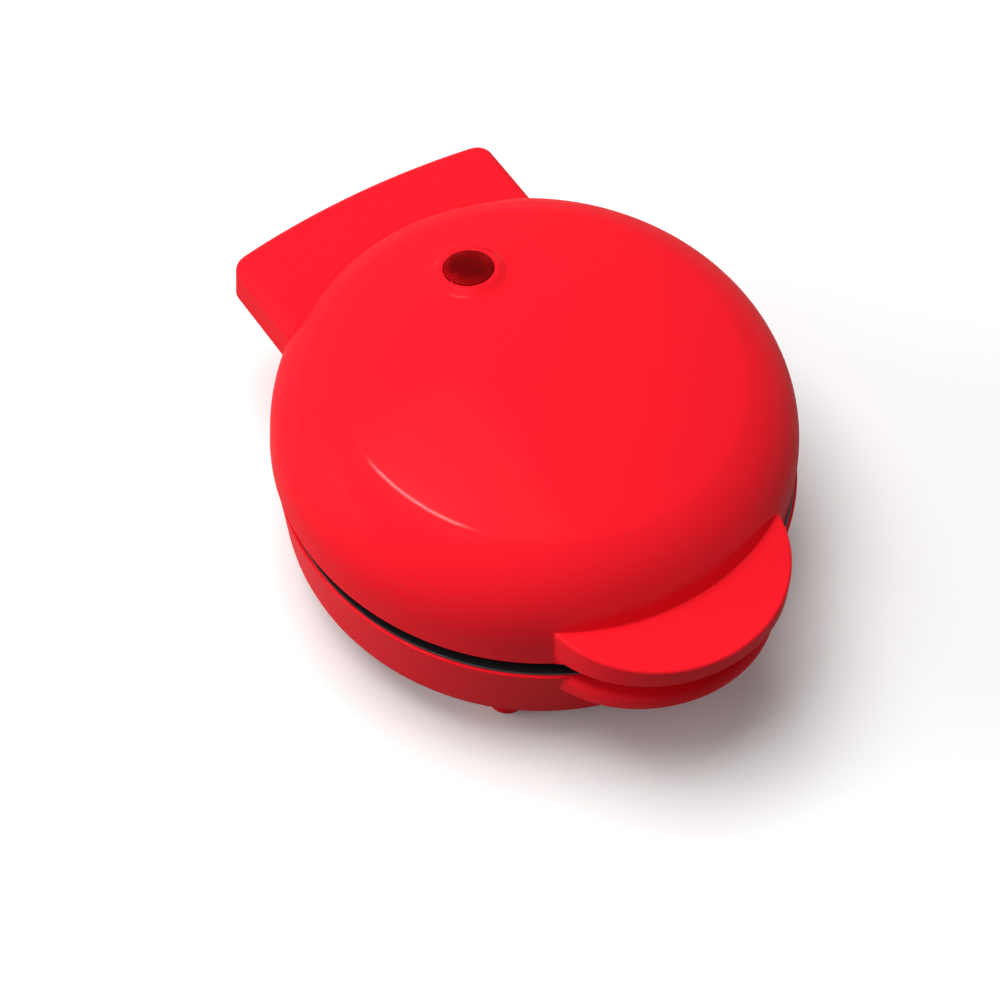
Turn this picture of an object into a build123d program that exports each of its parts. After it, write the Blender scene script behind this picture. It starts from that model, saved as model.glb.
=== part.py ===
from build123d import *
from math import asin, cos, hypot, radians, sin, sqrt
import os

# Mini waffle maker, closed. X is its width, -Y the front with the finger tabs, +Y the back
# with the hinge, and Z is up. The origin is on the table, under the middle of the whole length.
# Everything is in millimetres. Depths are measured from a half's cooking face, away from the batter.

# Base bowl, outside. Its rim sets the places of all that stands round its axis.
bowl_radius = 63.3              # at the rim
bowl_draw_in = 4.0              # narrower by this where side and floor would meet with no rounding
bowl_round = 13.0               # rounding between side and floor
bowl_floor_z = 5.4
base_rim_z = 32.8
shell = 2.4                     # wall of both red housings
rim_round = 0.8

# Lid, outside
lid_setback = 2.0               # the lid sits this much further back than the bowl
lid_overhang = 0.2              # the lid's radius over the bowl's
lid_side = 5.7                  # straight part of the lid's side
lid_shoulder = 16.5             # width of the rounded shoulder between the side and the shallow dome
lid_shoulder_z = 65.4
lid_top_z = 71.5
shoulder_fullness = 0.56        # 0.55 is an ellipse, more is squarer

# Bezels, the black rings round the plates
bezel_proud = 0.5               # base ring above the red rim
bezel_show = 2.4                # lid ring below the red rim
parting_gap = 0.5               # between the two closed halves
bezel_lip = 2.3                 # thickness of the ring's face
bezel_gap = 0.5                 # base ring to bowl, and plate to ring
bezel_under_lid = 0.7           # how far the lid's ring reaches under the red rim
skirt_depth = 5.8
skirt_wall = 2.0
skirt_gap = 0.6                 # skirt to the housing's inside
bezel_round = 0.9

# Cooking plates
plate_inset = 13.7              # from the bowl's rim in to the plate's
dam_width = 2.4                 # the rim that holds the batter
dam_draft = 6.0
cook_depth = 6.5
plate_floor = 3.0
peg_size = 7.8
peg_pitch = 12.4
peg_height = 4.2
peg_draft = 8.0
peg_margin = 0.6                # least gap between a peg and the rim's foot
peg_steps = 3                   # pegs each side of the middle one
flange_reach = 1.7
flange_thickness = 2.0
flange_gap = 0.2                # below the bezel's lip
plate_boss_circle = 22.0
plate_boss_radius = 4.0
plate_boss_length = 9.4
pad_place = 11.5                # two low pads that the thermostat or the fuse saddle is screwed to
pad_radius = 3.2
pad_height = 2.0

# Heating elements
element_inset = 13.6            # from the plate's edge in to the tube's middle
element_radius = 3.2
element_sink = 1.0              # how deep the tube lies in the plate's groove
element_opening = 50.0          # angle left open at the back
element_bend = 8.0
element_leg = 1.5
element_pin_radius = 1.2
element_pin = 3.0

# Heat shields
reflector_inset = 4.6           # from the plate's edge
reflector_thickness = 0.6
reflector_rim = 3.0
reflector_window = 9.0
reflector_leg_hole = 4.2

# Clips that hold a plate's flange up to its bezel
clip_screw_offset = 4.3         # from the plate's edge out to the clips' screws
clip_boss_radius = 2.4
clip_width = 6.0
clip_length = 5.9
clip_thickness = 1.0

# Screws: radius of shank, radius of head, height of head
large_screw = (1.5, 2.8, 1.9)
small_screw = (1.1, 2.2, 1.4)
thread_gap = 0.1                # bore radius over shank radius where the screw bites
pass_gap = 0.3                  # bore radius over shank radius where it passes through
head_gap = 0.4                  # recess radius over head radius
recess_width = 0.7              # cross slot in each head
recess_depth = 0.6
stack_gap = 0.1                 # between pieces that are screwed face to face

# Posts that the housing screws run in
post_inset = 7.3                # from the bowl's rim in to the posts' axes
post_angles = (25, 155, 205, 335)
base_post_radius = 4.6
lid_post_radius = 3.6
bezel_post_radius = 3.5
bezel_post_length = 6.4
well_top_z = 15.5               # seat of the screw heads, up in wells under the base
bezel_seat = 2.0                # seat of the screw heads in the lid's ring
base_screw_tip = 4.3            # depth of the base's screw tips under the cooking face
lid_screw_length = 14.0
reflector_screw_length = 6.6

# Feet
foot_x = 32.2
foot_y = 37.7
foot_radius = 4.4
foot_lift = 0.6                 # red boss above the table
foot_top_z = 9.0                # inside the bowl's wall
foot_round = 2.0
pad_foot_radius = 2.5
pad_foot_length = 3.6
pad_foot_gap = 0.1
pad_foot_round = 0.3

# Finger tabs
tab_overhang = 14.6             # tip of the upper tab beyond the bowl's rim
tab_half_width = 32.6
tab_half_length = 30.4
tab_top_z = 48.0
tab_tip_under_z = 42.0          # underside of the upper tab at its tip
tab_root_inset = 11.8           # where the upper tab starts to slope, inside the bowl's rim
tab_start_inset = 15.3          # where both tabs start, inside the bowl's rim
lower_tab_overhang = 12.6
lower_tab_half_width = 32.0
lower_tab_half_length = 30.6
lower_tab_tip_under_z = 28.5
lower_tab_root_z = 24.6
tab_round = 1.0
lower_tab_round = 2.0

# Hood over the hinge, on the lid
hood_half_width = 37.5
hood_overhang = 20.2            # middle of the back edge, beyond the bowl's rim
hood_bulge = 3.2                # that middle behind the two corners
hood_corner_round = 4.5
hood_top_z = 47.4
hood_round = 3.2
hood_start = 30.0               # front end of the block, inside the lid

# Hinge
pivot_overhang = 9.2            # hinge axis, beyond the bowl's rim
pivot_z = 34.5
pin_radius = 1.5
pin_head_radius = 2.8
pin_head = 1.2
pin_press_gap = 0.02            # bore radius over pin radius in the base's ears
pin_running_gap = 0.06          # bore radius over pin radius in the lid's knuckles
ear_inner = 16.0
ear_outer = 27.0
ear_radius = 5.0
ear_back = 0.3                  # rear face of the ears behind the hinge axis
ear_foot_z = 17.0
ear_top_z = 32.0
ear_shoulder = (3.5, 3.4)       # where the ear's front edge meets its round end, before and above the axis
ear_front_offset = 8.0          # where that edge starts, before the hinge axis
knuckle_gap = 0.4
knuckle_width = 4.0
knuckle_radius = 4.8
knuckle_front_z = 37.0
pin_reach = 1.5                 # how far a pin's inner end stops inside the ear

# Hinge bracket, the low box at the back of the base
bracket_half_width = 24.0
bracket_overhang = 16.2         # its back wall, beyond the bowl's rim
bracket_low_z = 6.5
bracket_top_z = 20.5
bracket_round = 2.0
bracket_start_inset = 17.3      # its front end, inside the bowl's rim

# Cord gland
gland_z = 13.5
gland_bore_radius = 2.8
gland_neck_radius = 3.8
gland_inner_radius = 4.5
gland_radius = 6.2
gland_nose_radius = 5.0
gland_reach = 7.7               # behind the bracket's back wall
gland_collar = 2.6              # where its cone starts
gland_flange = 1.5
gland_fit = 0.1
gland_round = 0.5

# Leads that cross the hinge, side by side with its axis
loom_radius = 1.8
loom_offset = 12.5              # from the middle, to either side
loom_bend = 3.2
loom_face_gap = 0.15            # each half stops this short of the middle
loom_hole_gap = 0.6
loom_lid_z = 41.5
base_loom_drop = 6.0            # where it turns down, before the hinge axis
base_loom_z = 27.0
base_loom_low_z = 10.8
base_loom_end_offset = 32.5     # its end, before the hinge axis
lid_loom_turn = 14.5            # where it starts to rise, before the hinge axis
lid_loom_rise = 22.5            # where it is up
lid_loom_top_z = 55.8
lid_loom_end_offset = 31.5

# Single leads
lead_radius = 1.1
lead_bend = 2.4
lead_gap = 0.2
base_lead_z = 10.4
lid_lead_z = 57.0
lead_turn_offset = 20.0         # where the base's leads turn, before the terminal block's middle
lead_run = 5.0
lead_in_block = 2.0
lid_lead_run = 12.0

# Terminal block
block_size = (20.0, 9.0, 7.5)
block_offset = 11.0
block_back_offset = 17.5        # its middle, before the bracket's back wall
block_lift = 0.1
block_pole_pitch = 9.0
block_bore_radius = 1.7
block_bore_height = 2.8         # of the bores' middle, above the block's underside

# Indicator lamp
lens_inset = 14.0               # from the shallow dome's edge in to the lens
lens_radius = 6.1
lens_edge = 1.6
lens_crown = 0.8
lens_gap = 0.12
lens_stem_radius = 4.6
lens_stem_bore = 3.4
lens_stem = 9.0
lens_ring_radius = 9.2
lens_ring_height = 1.1
lens_ring_round = 0.9
lens_nut_radius = 7.2
lens_nut_thickness = 0.8
lens_nut_drop = 4.2
lamp_radius = 2.1
lamp_length = 6.5
lamp_round = 1.7
holder_radius = 4.4
holder_length = 2.6
holder_bore_gap = 0.1
resistor_radius = 1.4
resistor_length = 7.0
resistor_offset = 8.5

# Thermostat on the lid's plate
thermostat_radius = 7.6
thermostat_cap = 2.4
thermostat_body = 8.0
ear_strip = (29.0, 8.0, 0.8)    # the strip with two holes that holds the thermostat
blade_size = (4.0, 0.8, 6.0)
blade_offset = 4.0

# Thermal fuse on the base's plate
fuse_radius = 2.6
fuse_length = 24.0
fuse_core_radius = 1.9
saddle_width = 7.0
saddle_thickness = 0.8

# Distances from the bowl's axis
bowl_foot_radius = bowl_radius - bowl_draw_in
lid_radius = bowl_radius + lid_overhang
lid_shoulder_radius = lid_radius - lid_shoulder
plate_radius = bowl_radius - plate_inset
element_circle = plate_radius - element_inset
reflector_radius = plate_radius - reflector_inset
clip_circle = plate_radius + clip_screw_offset
clip_inner = plate_radius + bezel_gap
clip_outer = clip_inner + clip_length
post_circle = bowl_radius - post_inset
tab_reach = bowl_radius + tab_overhang
tab_root = bowl_radius - tab_root_inset
tab_inner = bowl_radius - tab_start_inset
lower_tab_reach = bowl_radius + lower_tab_overhang
hood_back = bowl_radius + hood_overhang
hood_corner_back = hood_back - hood_bulge
pivot_back = bowl_radius + pivot_overhang
ear_front = pivot_back - ear_front_offset
bracket_back = bowl_radius + bracket_overhang
bracket_start = bowl_radius - bracket_start_inset
base_loom_back = pivot_back - base_loom_drop
base_loom_end = pivot_back - base_loom_end_offset
lid_loom_back = pivot_back - lid_loom_turn
lid_loom_rise_back = pivot_back - lid_loom_rise
lid_loom_end = pivot_back - lid_loom_end_offset
block_back = bracket_back - block_back_offset
lead_turn = block_back - lead_turn_offset
lens_offset = lid_shoulder_radius - lens_inset

# Places worked out from the sizes above
overall_length = tab_reach + bracket_back + gland_reach
bowl_y = tab_reach - overall_length / 2
lid_y = bowl_y + lid_setback
pivot_y = bowl_y + pivot_back
base_face_z = base_rim_z + bezel_proud
lid_face_z = base_face_z + parting_gap
lid_rim_z = lid_face_z + bezel_show
lid_side_top_z = lid_rim_z + lid_side
plate_back = cook_depth + plate_floor
boss_end = plate_back + plate_boss_length
flange_top = bezel_lip + flange_gap
flange_back = flange_top + flange_thickness
flange_radius = plate_radius + flange_reach
element_depth = plate_back - element_sink + element_radius + stack_gap
element_leg_depth = element_depth + element_bend
bezel_post_end = bezel_lip + bezel_post_length
reflector_depth = boss_end + stack_gap
reflector_back = reflector_depth + reflector_thickness
base_screw_length = base_face_z - base_screw_tip - well_top_z
dome_rise = lid_top_z - lid_shoulder_z
dome_radius = (lid_shoulder_radius**2 + dome_rise**2) / (2 * dome_rise)
dome_centre_z = lid_top_z - dome_radius
lens_from_axis = lens_offset - lid_setback
lens_tilt = asin(lens_from_axis / dome_radius)
lens_z = dome_centre_z + dome_radius * cos(lens_tilt)
bowl_lean = (bowl_radius - bowl_foot_radius) / (base_rim_z - bowl_floor_z)

# Planes and axes that several pieces share
bowl_plane = Plane(origin=(0, bowl_y, 0))
lid_plane = Plane(origin=(0, lid_y, 0))
base_face = Plane(origin=(0, bowl_y, base_face_z))
lid_face = Plane(origin=(0, bowl_y, lid_face_z), x_dir=(-1, 0, 0), z_dir=(0, 0, -1))
lens_plane = Plane(origin=(0, bowl_y + lens_offset, lens_z), x_dir=(1, 0, 0),
                   z_dir=(0, sin(lens_tilt), cos(lens_tilt)))
bowl_axis = Axis((0, bowl_y, 0), (0, 0, 1))
lid_axis = Axis((0, lid_y, 0), (0, 0, 1))


def upright(face, angle=0.0):
    """The plane through face's axis, turned by angle: its local x is a radius, its local y a height."""
    turn = radians(angle)
    return Plane(origin=face.origin, x_dir=face.x_dir * cos(turn) + face.y_dir * sin(turn),
                 z_dir=face.x_dir * sin(turn) - face.y_dir * cos(turn))


def facing(piece, way):
    """The flat faces of a piece that look the given way."""
    return piece.faces().filter_by(GeomType.PLANE).filter_by(lambda f: f.normal_at().dot(way) > 0.99)


def ring_places(radius, angles):
    """Places on a circle round a plane's origin, one for each angle in degrees."""
    return [(radius * cos(radians(angle)), radius * sin(radians(angle))) for angle in angles]


def post_places(axis_shift):
    """The housing screws' places, seen from a cooking plate's origin."""
    return [(x, y + axis_shift) for x, y in ring_places(post_circle, post_angles)]


def bowl_section(inset, top):
    """Half the bowl's section, moved in from its outside by inset, up to the height top."""
    side = inset * sqrt(1 + bowl_lean**2)
    floor = bowl_floor_z + inset
    foot = bowl_foot_radius + bowl_lean * inset - side
    brim = bowl_foot_radius + bowl_lean * (top - bowl_floor_z) - side
    with BuildSketch(upright(bowl_plane)) as section:
        with BuildLine():
            wall = FilletPolyline((0, floor), (foot, floor), (brim, top), radius=bowl_round - inset)
            Polyline(wall @ 1, (0, top), (0, floor))
        make_face()
    return section.sketch.faces()


def lid_section(inset, low):
    """Half the lid's section, moved in from its outside by inset, from the height low."""
    dome = dome_radius - inset
    slope = asin(lid_shoulder_radius / dome_radius)
    side = lid_radius - inset
    edge = (dome * sin(slope), dome_centre_z + dome * cos(slope))
    rise = shoulder_fullness * (edge[1] - lid_side_top_z)
    run = shoulder_fullness * (side - edge[0])
    middle = (dome * sin(slope / 2), dome_centre_z + dome * cos(slope / 2))
    with BuildSketch(upright(lid_plane)) as section:
        with BuildLine():
            Line((side, low), (side, lid_side_top_z))
            Bezier((side, lid_side_top_z), (side, lid_side_top_z + rise),
                   (edge[0] + run * cos(slope), edge[1] - run * sin(slope)), edge)
            ThreePointArc(edge, middle, (0, lid_top_z - inset))
            Polyline((0, lid_top_z - inset), (0, low), (side, low))
        make_face()
    return section.sketch.faces()


def tab_solid(inset, side_view, half_width, half_length, tip, height):
    """A finger tab: an ellipse in plan cut to a side view, both moved in by inset."""
    with BuildPart() as tab:
        with BuildSketch(Plane.YZ):
            with BuildLine():
                Polyline(*side_view, close=True)
            make_face()
        extrude(amount=half_width, both=True)
        with BuildSketch(Plane.XY):
            with Locations((0, bowl_y - tip + half_length)):
                Ellipse(half_width - inset, half_length - inset)
        extrude(amount=height, mode=Mode.INTERSECT)
    return tab


def hood_plan(inset, z):
    """The hood's outline at height z, moved in from its outside by inset."""
    side = hood_half_width - inset
    corner = bowl_y + hood_corner_back - inset
    with BuildSketch(Plane.XY.offset(z)) as plan:
        with BuildLine():
            ThreePointArc((-side, corner), (0, bowl_y + hood_back - inset), (side, corner))
            Polyline((side, corner), (side, bowl_y + hood_start), (-side, bowl_y + hood_start),
                     (-side, corner))
        make_face()
        fillet(plan.vertices().group_by(Axis.Y)[-1], radius=hood_corner_round - inset)
    return plan.sketch.faces()


def screws(seat, places, size, length):
    """Pan-head screws: the heads stand on the seat plane and the shanks go below it."""
    shank_radius, head_radius, head = size
    with BuildPart() as group:
        with BuildSketch(seat):
            with Locations(*places):
                Circle(head_radius)
        extrude(amount=head)
        fillet(facing(group, seat.z_dir).edges(), radius=head / 3)
        with BuildSketch(seat):
            with Locations(*places):
                Circle(shank_radius)
        extrude(amount=-length)
        with BuildSketch(seat.offset(head)):
            with Locations(*places):
                Rectangle(head_radius, recess_width)
                Rectangle(recess_width, head_radius)
        extrude(amount=-recess_depth, mode=Mode.SUBTRACT)
    return group


def cooking_plate(face):
    """A cast grid plate under its face: rim, flange, pegs, element groove, bosses and pads."""
    hollow = plate_radius - dam_width
    reach = hollow - peg_margin - cook_depth * sin(radians(dam_draft))
    steps = range(-peg_steps, peg_steps + 1)
    corner = peg_size / 2
    pegs = [(i * peg_pitch, j * peg_pitch) for i in steps for j in steps
            if hypot(abs(i) * peg_pitch + corner, abs(j) * peg_pitch + corner) < reach]
    bosses = ring_places(plate_boss_circle, (45, 135, 225, 315))
    pads = [(-pad_place, 0), (pad_place, 0)]
    with BuildPart() as plate:
        with BuildSketch(face.offset(-plate_back)):
            Circle(plate_radius)
        extrude(amount=plate_back)
        with BuildSketch(face):
            Circle(hollow)
        extrude(amount=-cook_depth, taper=dam_draft, mode=Mode.SUBTRACT)
        with BuildSketch(face.offset(-cook_depth)):
            with Locations(*pegs):
                Rectangle(peg_size, peg_size)
        extrude(amount=peg_height, taper=peg_draft)
        with BuildSketch(face.offset(-flange_back)):
            Circle(flange_radius)
            Circle(plate_radius - dam_width / 2, mode=Mode.SUBTRACT)
        extrude(amount=flange_thickness)
        with BuildSketch(face.offset(-boss_end)):
            with Locations(*bosses):
                Circle(plate_boss_radius)
        extrude(amount=plate_boss_length)
        with BuildSketch(face.offset(-plate_back - pad_height)):
            with Locations(*pads):
                Circle(pad_radius)
        extrude(amount=pad_height)
        with BuildSketch(upright(face)):
            with Locations((element_circle, -element_depth)):
                Circle(element_radius + stack_gap)
        revolve(axis=Axis(face.origin, face.z_dir), mode=Mode.SUBTRACT)
        with BuildSketch(face.offset(-boss_end)):
            with Locations(*bosses):
                Circle(large_screw[0] + thread_gap)
        extrude(amount=plate_boss_length, mode=Mode.SUBTRACT)
        with BuildSketch(face.offset(-plate_back - pad_height)):
            with Locations(*pads):
                Circle(small_screw[0] + thread_gap)
        extrude(amount=pad_height + plate_floor / 2, mode=Mode.SUBTRACT)
    return plate


def element(face):
    """A tubular heating element: an open ring whose two ends bend away from the plate."""
    axis = Axis(face.origin, face.z_dir)
    with BuildPart() as tube:
        first = 90 + element_opening / 2
        with BuildSketch(upright(face, first)):
            with Locations((element_circle, -element_depth)):
                Circle(element_radius)
        revolve(axis=axis, revolution_arc=360 - element_opening)
        for angle, way in ((first, 1), (first - element_opening, -1)):
            section = upright(face, angle)
            hinge = section.from_local_coords((0, -element_leg_depth))
            with BuildSketch(section):
                with Locations((element_circle, -element_depth)):
                    Circle(element_radius)
            revolve(axis=Axis(hinge, section.x_dir * way), revolution_arc=90)
        with BuildSketch(face.offset(-element_leg_depth)):
            with Locations(*leg_places()):
                Circle(element_radius)
        extrude(amount=-element_leg)
        with BuildSketch(face.offset(-element_leg_depth - element_leg)):
            with Locations(*leg_places()):
                Circle(element_pin_radius)
        extrude(amount=-element_pin)
    return tube


def leg_places():
    """Where the element's two legs stand, seen from the plate's origin."""
    side = radians(element_opening / 2)
    x = element_circle * sin(side) - element_bend * cos(side)
    y = element_circle * cos(side) + element_bend * sin(side)
    return [(-x, y), (x, y)]


def reflector(face):
    """A shallow aluminium dish behind the element."""
    bosses = ring_places(plate_boss_circle, (45, 135, 225, 315))
    with BuildPart() as dish:
        with BuildSketch(face.offset(-reflector_back)):
            Circle(reflector_radius)
        extrude(amount=reflector_thickness + reflector_rim)
        with BuildSketch(face.offset(-reflector_depth)):
            Circle(reflector_radius - reflector_thickness)
        extrude(amount=reflector_rim, mode=Mode.SUBTRACT)
        with BuildSketch(face.offset(-reflector_back)):
            Circle(reflector_window)
            with Locations(*leg_places()):
                Circle(reflector_leg_hole)
            with Locations(*bosses):
                Circle(large_screw[0] + pass_gap)
        extrude(amount=reflector_thickness, mode=Mode.SUBTRACT)
    return dish


def bezel(face, outer_radius, skirt_radius, axis_shift):
    """The ring round a plate: a face, a skirt inside the housing, screw posts and clip bosses."""
    with BuildPart() as ring:
        with BuildSketch(face):
            with Locations((0, axis_shift)):
                Circle(outer_radius)
        extrude(amount=-bezel_lip)
        fillet(facing(ring, face.z_dir).edges(), radius=bezel_round)
        with BuildSketch(face.offset(-bezel_lip)):
            with Locations((0, axis_shift)):
                Circle(skirt_radius)
                Circle(skirt_radius - skirt_wall, mode=Mode.SUBTRACT)
        extrude(amount=-skirt_depth + bezel_lip)
        with BuildSketch(face.offset(-bezel_lip)):
            with Locations(*post_places(axis_shift)):
                Circle(bezel_post_radius)
        extrude(amount=-bezel_post_length)
        with BuildSketch(face.offset(-bezel_lip)):
            with Locations(*ring_places(clip_circle, (0, 90, 180, 270))):
                Circle(clip_boss_radius)
        extrude(amount=bezel_lip - flange_back)
        with BuildSketch(face):
            Circle(plate_radius + bezel_gap)
        extrude(amount=-bezel_lip, mode=Mode.SUBTRACT)
        with BuildSketch(face.offset(-flange_back)):
            with Locations(*ring_places(clip_circle, (0, 90, 180, 270))):
                Circle(small_screw[0] + thread_gap)
        extrude(amount=flange_back - bezel_lip / 2, mode=Mode.SUBTRACT)
    return ring


def clips(face):
    """Four flat steel clips under a plate's flange."""
    middle = (clip_inner + clip_outer) / 2
    with BuildPart() as group:
        with BuildSketch(face.offset(-flange_back - stack_gap)):
            with PolarLocations(middle, 4):
                RectangleRounded(clip_outer - clip_inner, clip_width, clip_width / 6)
            with PolarLocations(clip_circle, 4):
                Circle(small_screw[0] + pass_gap, mode=Mode.SUBTRACT)
        extrude(amount=-clip_thickness)
    return group


# Base: the space inside the bowl, with the screw posts left standing
with BuildPart() as bowl_hollow:
    revolve(bowl_section(shell, base_face_z), axis=bowl_axis)
    with BuildSketch(bowl_plane):
        with Locations(*post_places(0)):
            Circle(base_post_radius)
    extrude(amount=base_face_z - bezel_post_end - stack_gap, mode=Mode.SUBTRACT)

lower_tab_view = [
    (bowl_y - tab_inner, base_rim_z),
    (bowl_y - lower_tab_reach, base_rim_z),
    (bowl_y - lower_tab_reach, lower_tab_tip_under_z),
    (bowl_y - tab_inner, lower_tab_root_z),
]
lower_tab = tab_solid(0, lower_tab_view, lower_tab_half_width, lower_tab_half_length,
                      lower_tab_reach, base_rim_z)
with BuildPart() as lower_tab_rounded:
    add(lower_tab.part)
    fillet(lower_tab_rounded.faces().sort_by(Axis.Y)[0].edges(), radius=lower_tab_round)

# Base housing: bowl, lower tab, foot bosses, hinge bracket and the two hinge ears
with BuildPart() as base_housing:
    revolve(bowl_section(0, base_rim_z), axis=bowl_axis)
    fillet(base_housing.edges().group_by(Axis.Z)[-1], radius=rim_round)
    add(lower_tab_rounded.part)
    with BuildSketch(Plane.XY.offset(foot_lift)):
        with Locations((0, bowl_y)):
            with GridLocations(2 * foot_x, 2 * foot_y, 2, 2):
                Circle(foot_radius)
    extrude(amount=foot_top_z - foot_lift)
    fillet(base_housing.edges().group_by(Axis.Z)[0], radius=foot_round)
    with BuildSketch(Plane.XY.offset(bracket_low_z)):
        with Locations((0, bowl_y + (bracket_start + bracket_back) / 2)):
            Rectangle(2 * bracket_half_width, bracket_back - bracket_start)
    extrude(amount=bracket_top_z - bracket_low_z)
    fillet(base_housing.faces().sort_by(Axis.Y)[-1].edges(), radius=bracket_round)
    for side in (-ear_outer, ear_inner):
        with BuildSketch(Plane.YZ.offset(side)):
            with BuildLine():
                Polyline((bowl_y + bracket_start, ear_foot_z),
                         (pivot_y + ear_back, ear_foot_z),
                         (pivot_y + ear_back, pivot_z),
                         (pivot_y - ear_shoulder[0], pivot_z + ear_shoulder[1]),
                         (bowl_y + ear_front, ear_top_z),
                         (bowl_y + bracket_start, ear_top_z), close=True)
            make_face()
            with Locations((pivot_y, pivot_z)):
                Circle(ear_radius)
        extrude(amount=ear_outer - ear_inner)
    add(bowl_hollow.part, mode=Mode.SUBTRACT)
    with BuildSketch(Plane.XY.offset(bracket_low_z + shell)):
        with Locations((0, bowl_y + (bracket_start + bracket_back - shell) / 2)):
            Rectangle(2 * (bracket_half_width - shell), bracket_back - shell - bracket_start)
    extrude(amount=bracket_top_z - bracket_low_z - 2 * shell, mode=Mode.SUBTRACT)
    with BuildSketch(Plane.XY.offset(bracket_top_z)):
        with Locations((-loom_offset, bowl_y + base_loom_back)):
            Circle(loom_radius + loom_hole_gap)
    extrude(amount=-2 * shell, mode=Mode.SUBTRACT)
    with BuildSketch(Plane.XZ.offset(-bowl_y - bracket_back)):
        with Locations((0, gland_z)):
            Circle(gland_neck_radius + gland_fit)
    extrude(amount=2 * shell, mode=Mode.SUBTRACT)
    with BuildSketch(Plane.YZ):
        with Locations((pivot_y, pivot_z)):
            Circle(pin_radius + pin_press_gap)
    extrude(amount=ear_outer, both=True, mode=Mode.SUBTRACT)
    with BuildSketch(bowl_plane):
        with Locations(*post_places(0)):
            Circle(large_screw[1] + head_gap)
    extrude(amount=well_top_z, mode=Mode.SUBTRACT)
    with BuildSketch(bowl_plane):
        with Locations(*post_places(0)):
            Circle(large_screw[0] + pass_gap)
    extrude(amount=base_face_z - bezel_post_end, mode=Mode.SUBTRACT)
    with BuildSketch(Plane.XY):
        with Locations((0, bowl_y)):
            with GridLocations(2 * foot_x, 2 * foot_y, 2, 2):
                Circle(pad_foot_radius + pad_foot_gap)
    extrude(amount=pad_foot_length + pad_foot_gap, mode=Mode.SUBTRACT)

# Lid: the space inside the dome, with the screw posts left standing
with BuildPart() as lid_hollow:
    revolve(lid_section(shell, lid_rim_z), axis=lid_axis)
    with BuildSketch(Plane.XY.offset(lid_face_z + bezel_post_end + stack_gap)):
        with Locations(*[(x, y + bowl_y) for x, y in post_places(lid_setback)]):
            Circle(lid_post_radius)
    extrude(amount=lid_top_z - lid_rim_z, mode=Mode.SUBTRACT)

upper_tab_view = [
    (bowl_y - tab_inner, tab_top_z),
    (bowl_y - tab_reach, tab_top_z),
    (bowl_y - tab_reach, tab_tip_under_z),
    (bowl_y - tab_root, lid_rim_z),
    (bowl_y - tab_inner, lid_rim_z),
]
upper_tab_core_view = [
    (bowl_y - tab_inner, tab_top_z - shell),
    (bowl_y - tab_reach, tab_top_z - shell),
    (bowl_y - tab_reach, tab_tip_under_z + shell),
    (bowl_y - tab_root, lid_rim_z + shell),
    (bowl_y - tab_inner, lid_rim_z + shell),
]
upper_tab = tab_solid(0, upper_tab_view, tab_half_width, tab_half_length, tab_reach, tab_top_z)
upper_tab_core = tab_solid(shell, upper_tab_core_view, tab_half_width, tab_half_length,
                           tab_reach, tab_top_z)
with BuildPart() as upper_tab_rounded:
    add(upper_tab.part)
    fillet(upper_tab_rounded.faces().sort_by(Axis.Y)[0].edges(), radius=tab_round)

with BuildPart() as hood:
    extrude(hood_plan(0, lid_rim_z), amount=hood_top_z - lid_rim_z)
    top = hood.faces().sort_by(Axis.Z)[-1]
    fillet(top.edges() - top.edges().group_by(Axis.Y)[0], radius=hood_round)

with BuildPart() as hood_hollow:
    extrude(hood_plan(shell, lid_rim_z), amount=hood_top_z - shell - lid_rim_z)
    with BuildSketch(lid_plane):
        Circle(lid_radius)
    extrude(amount=hood_top_z, mode=Mode.SUBTRACT)

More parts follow.
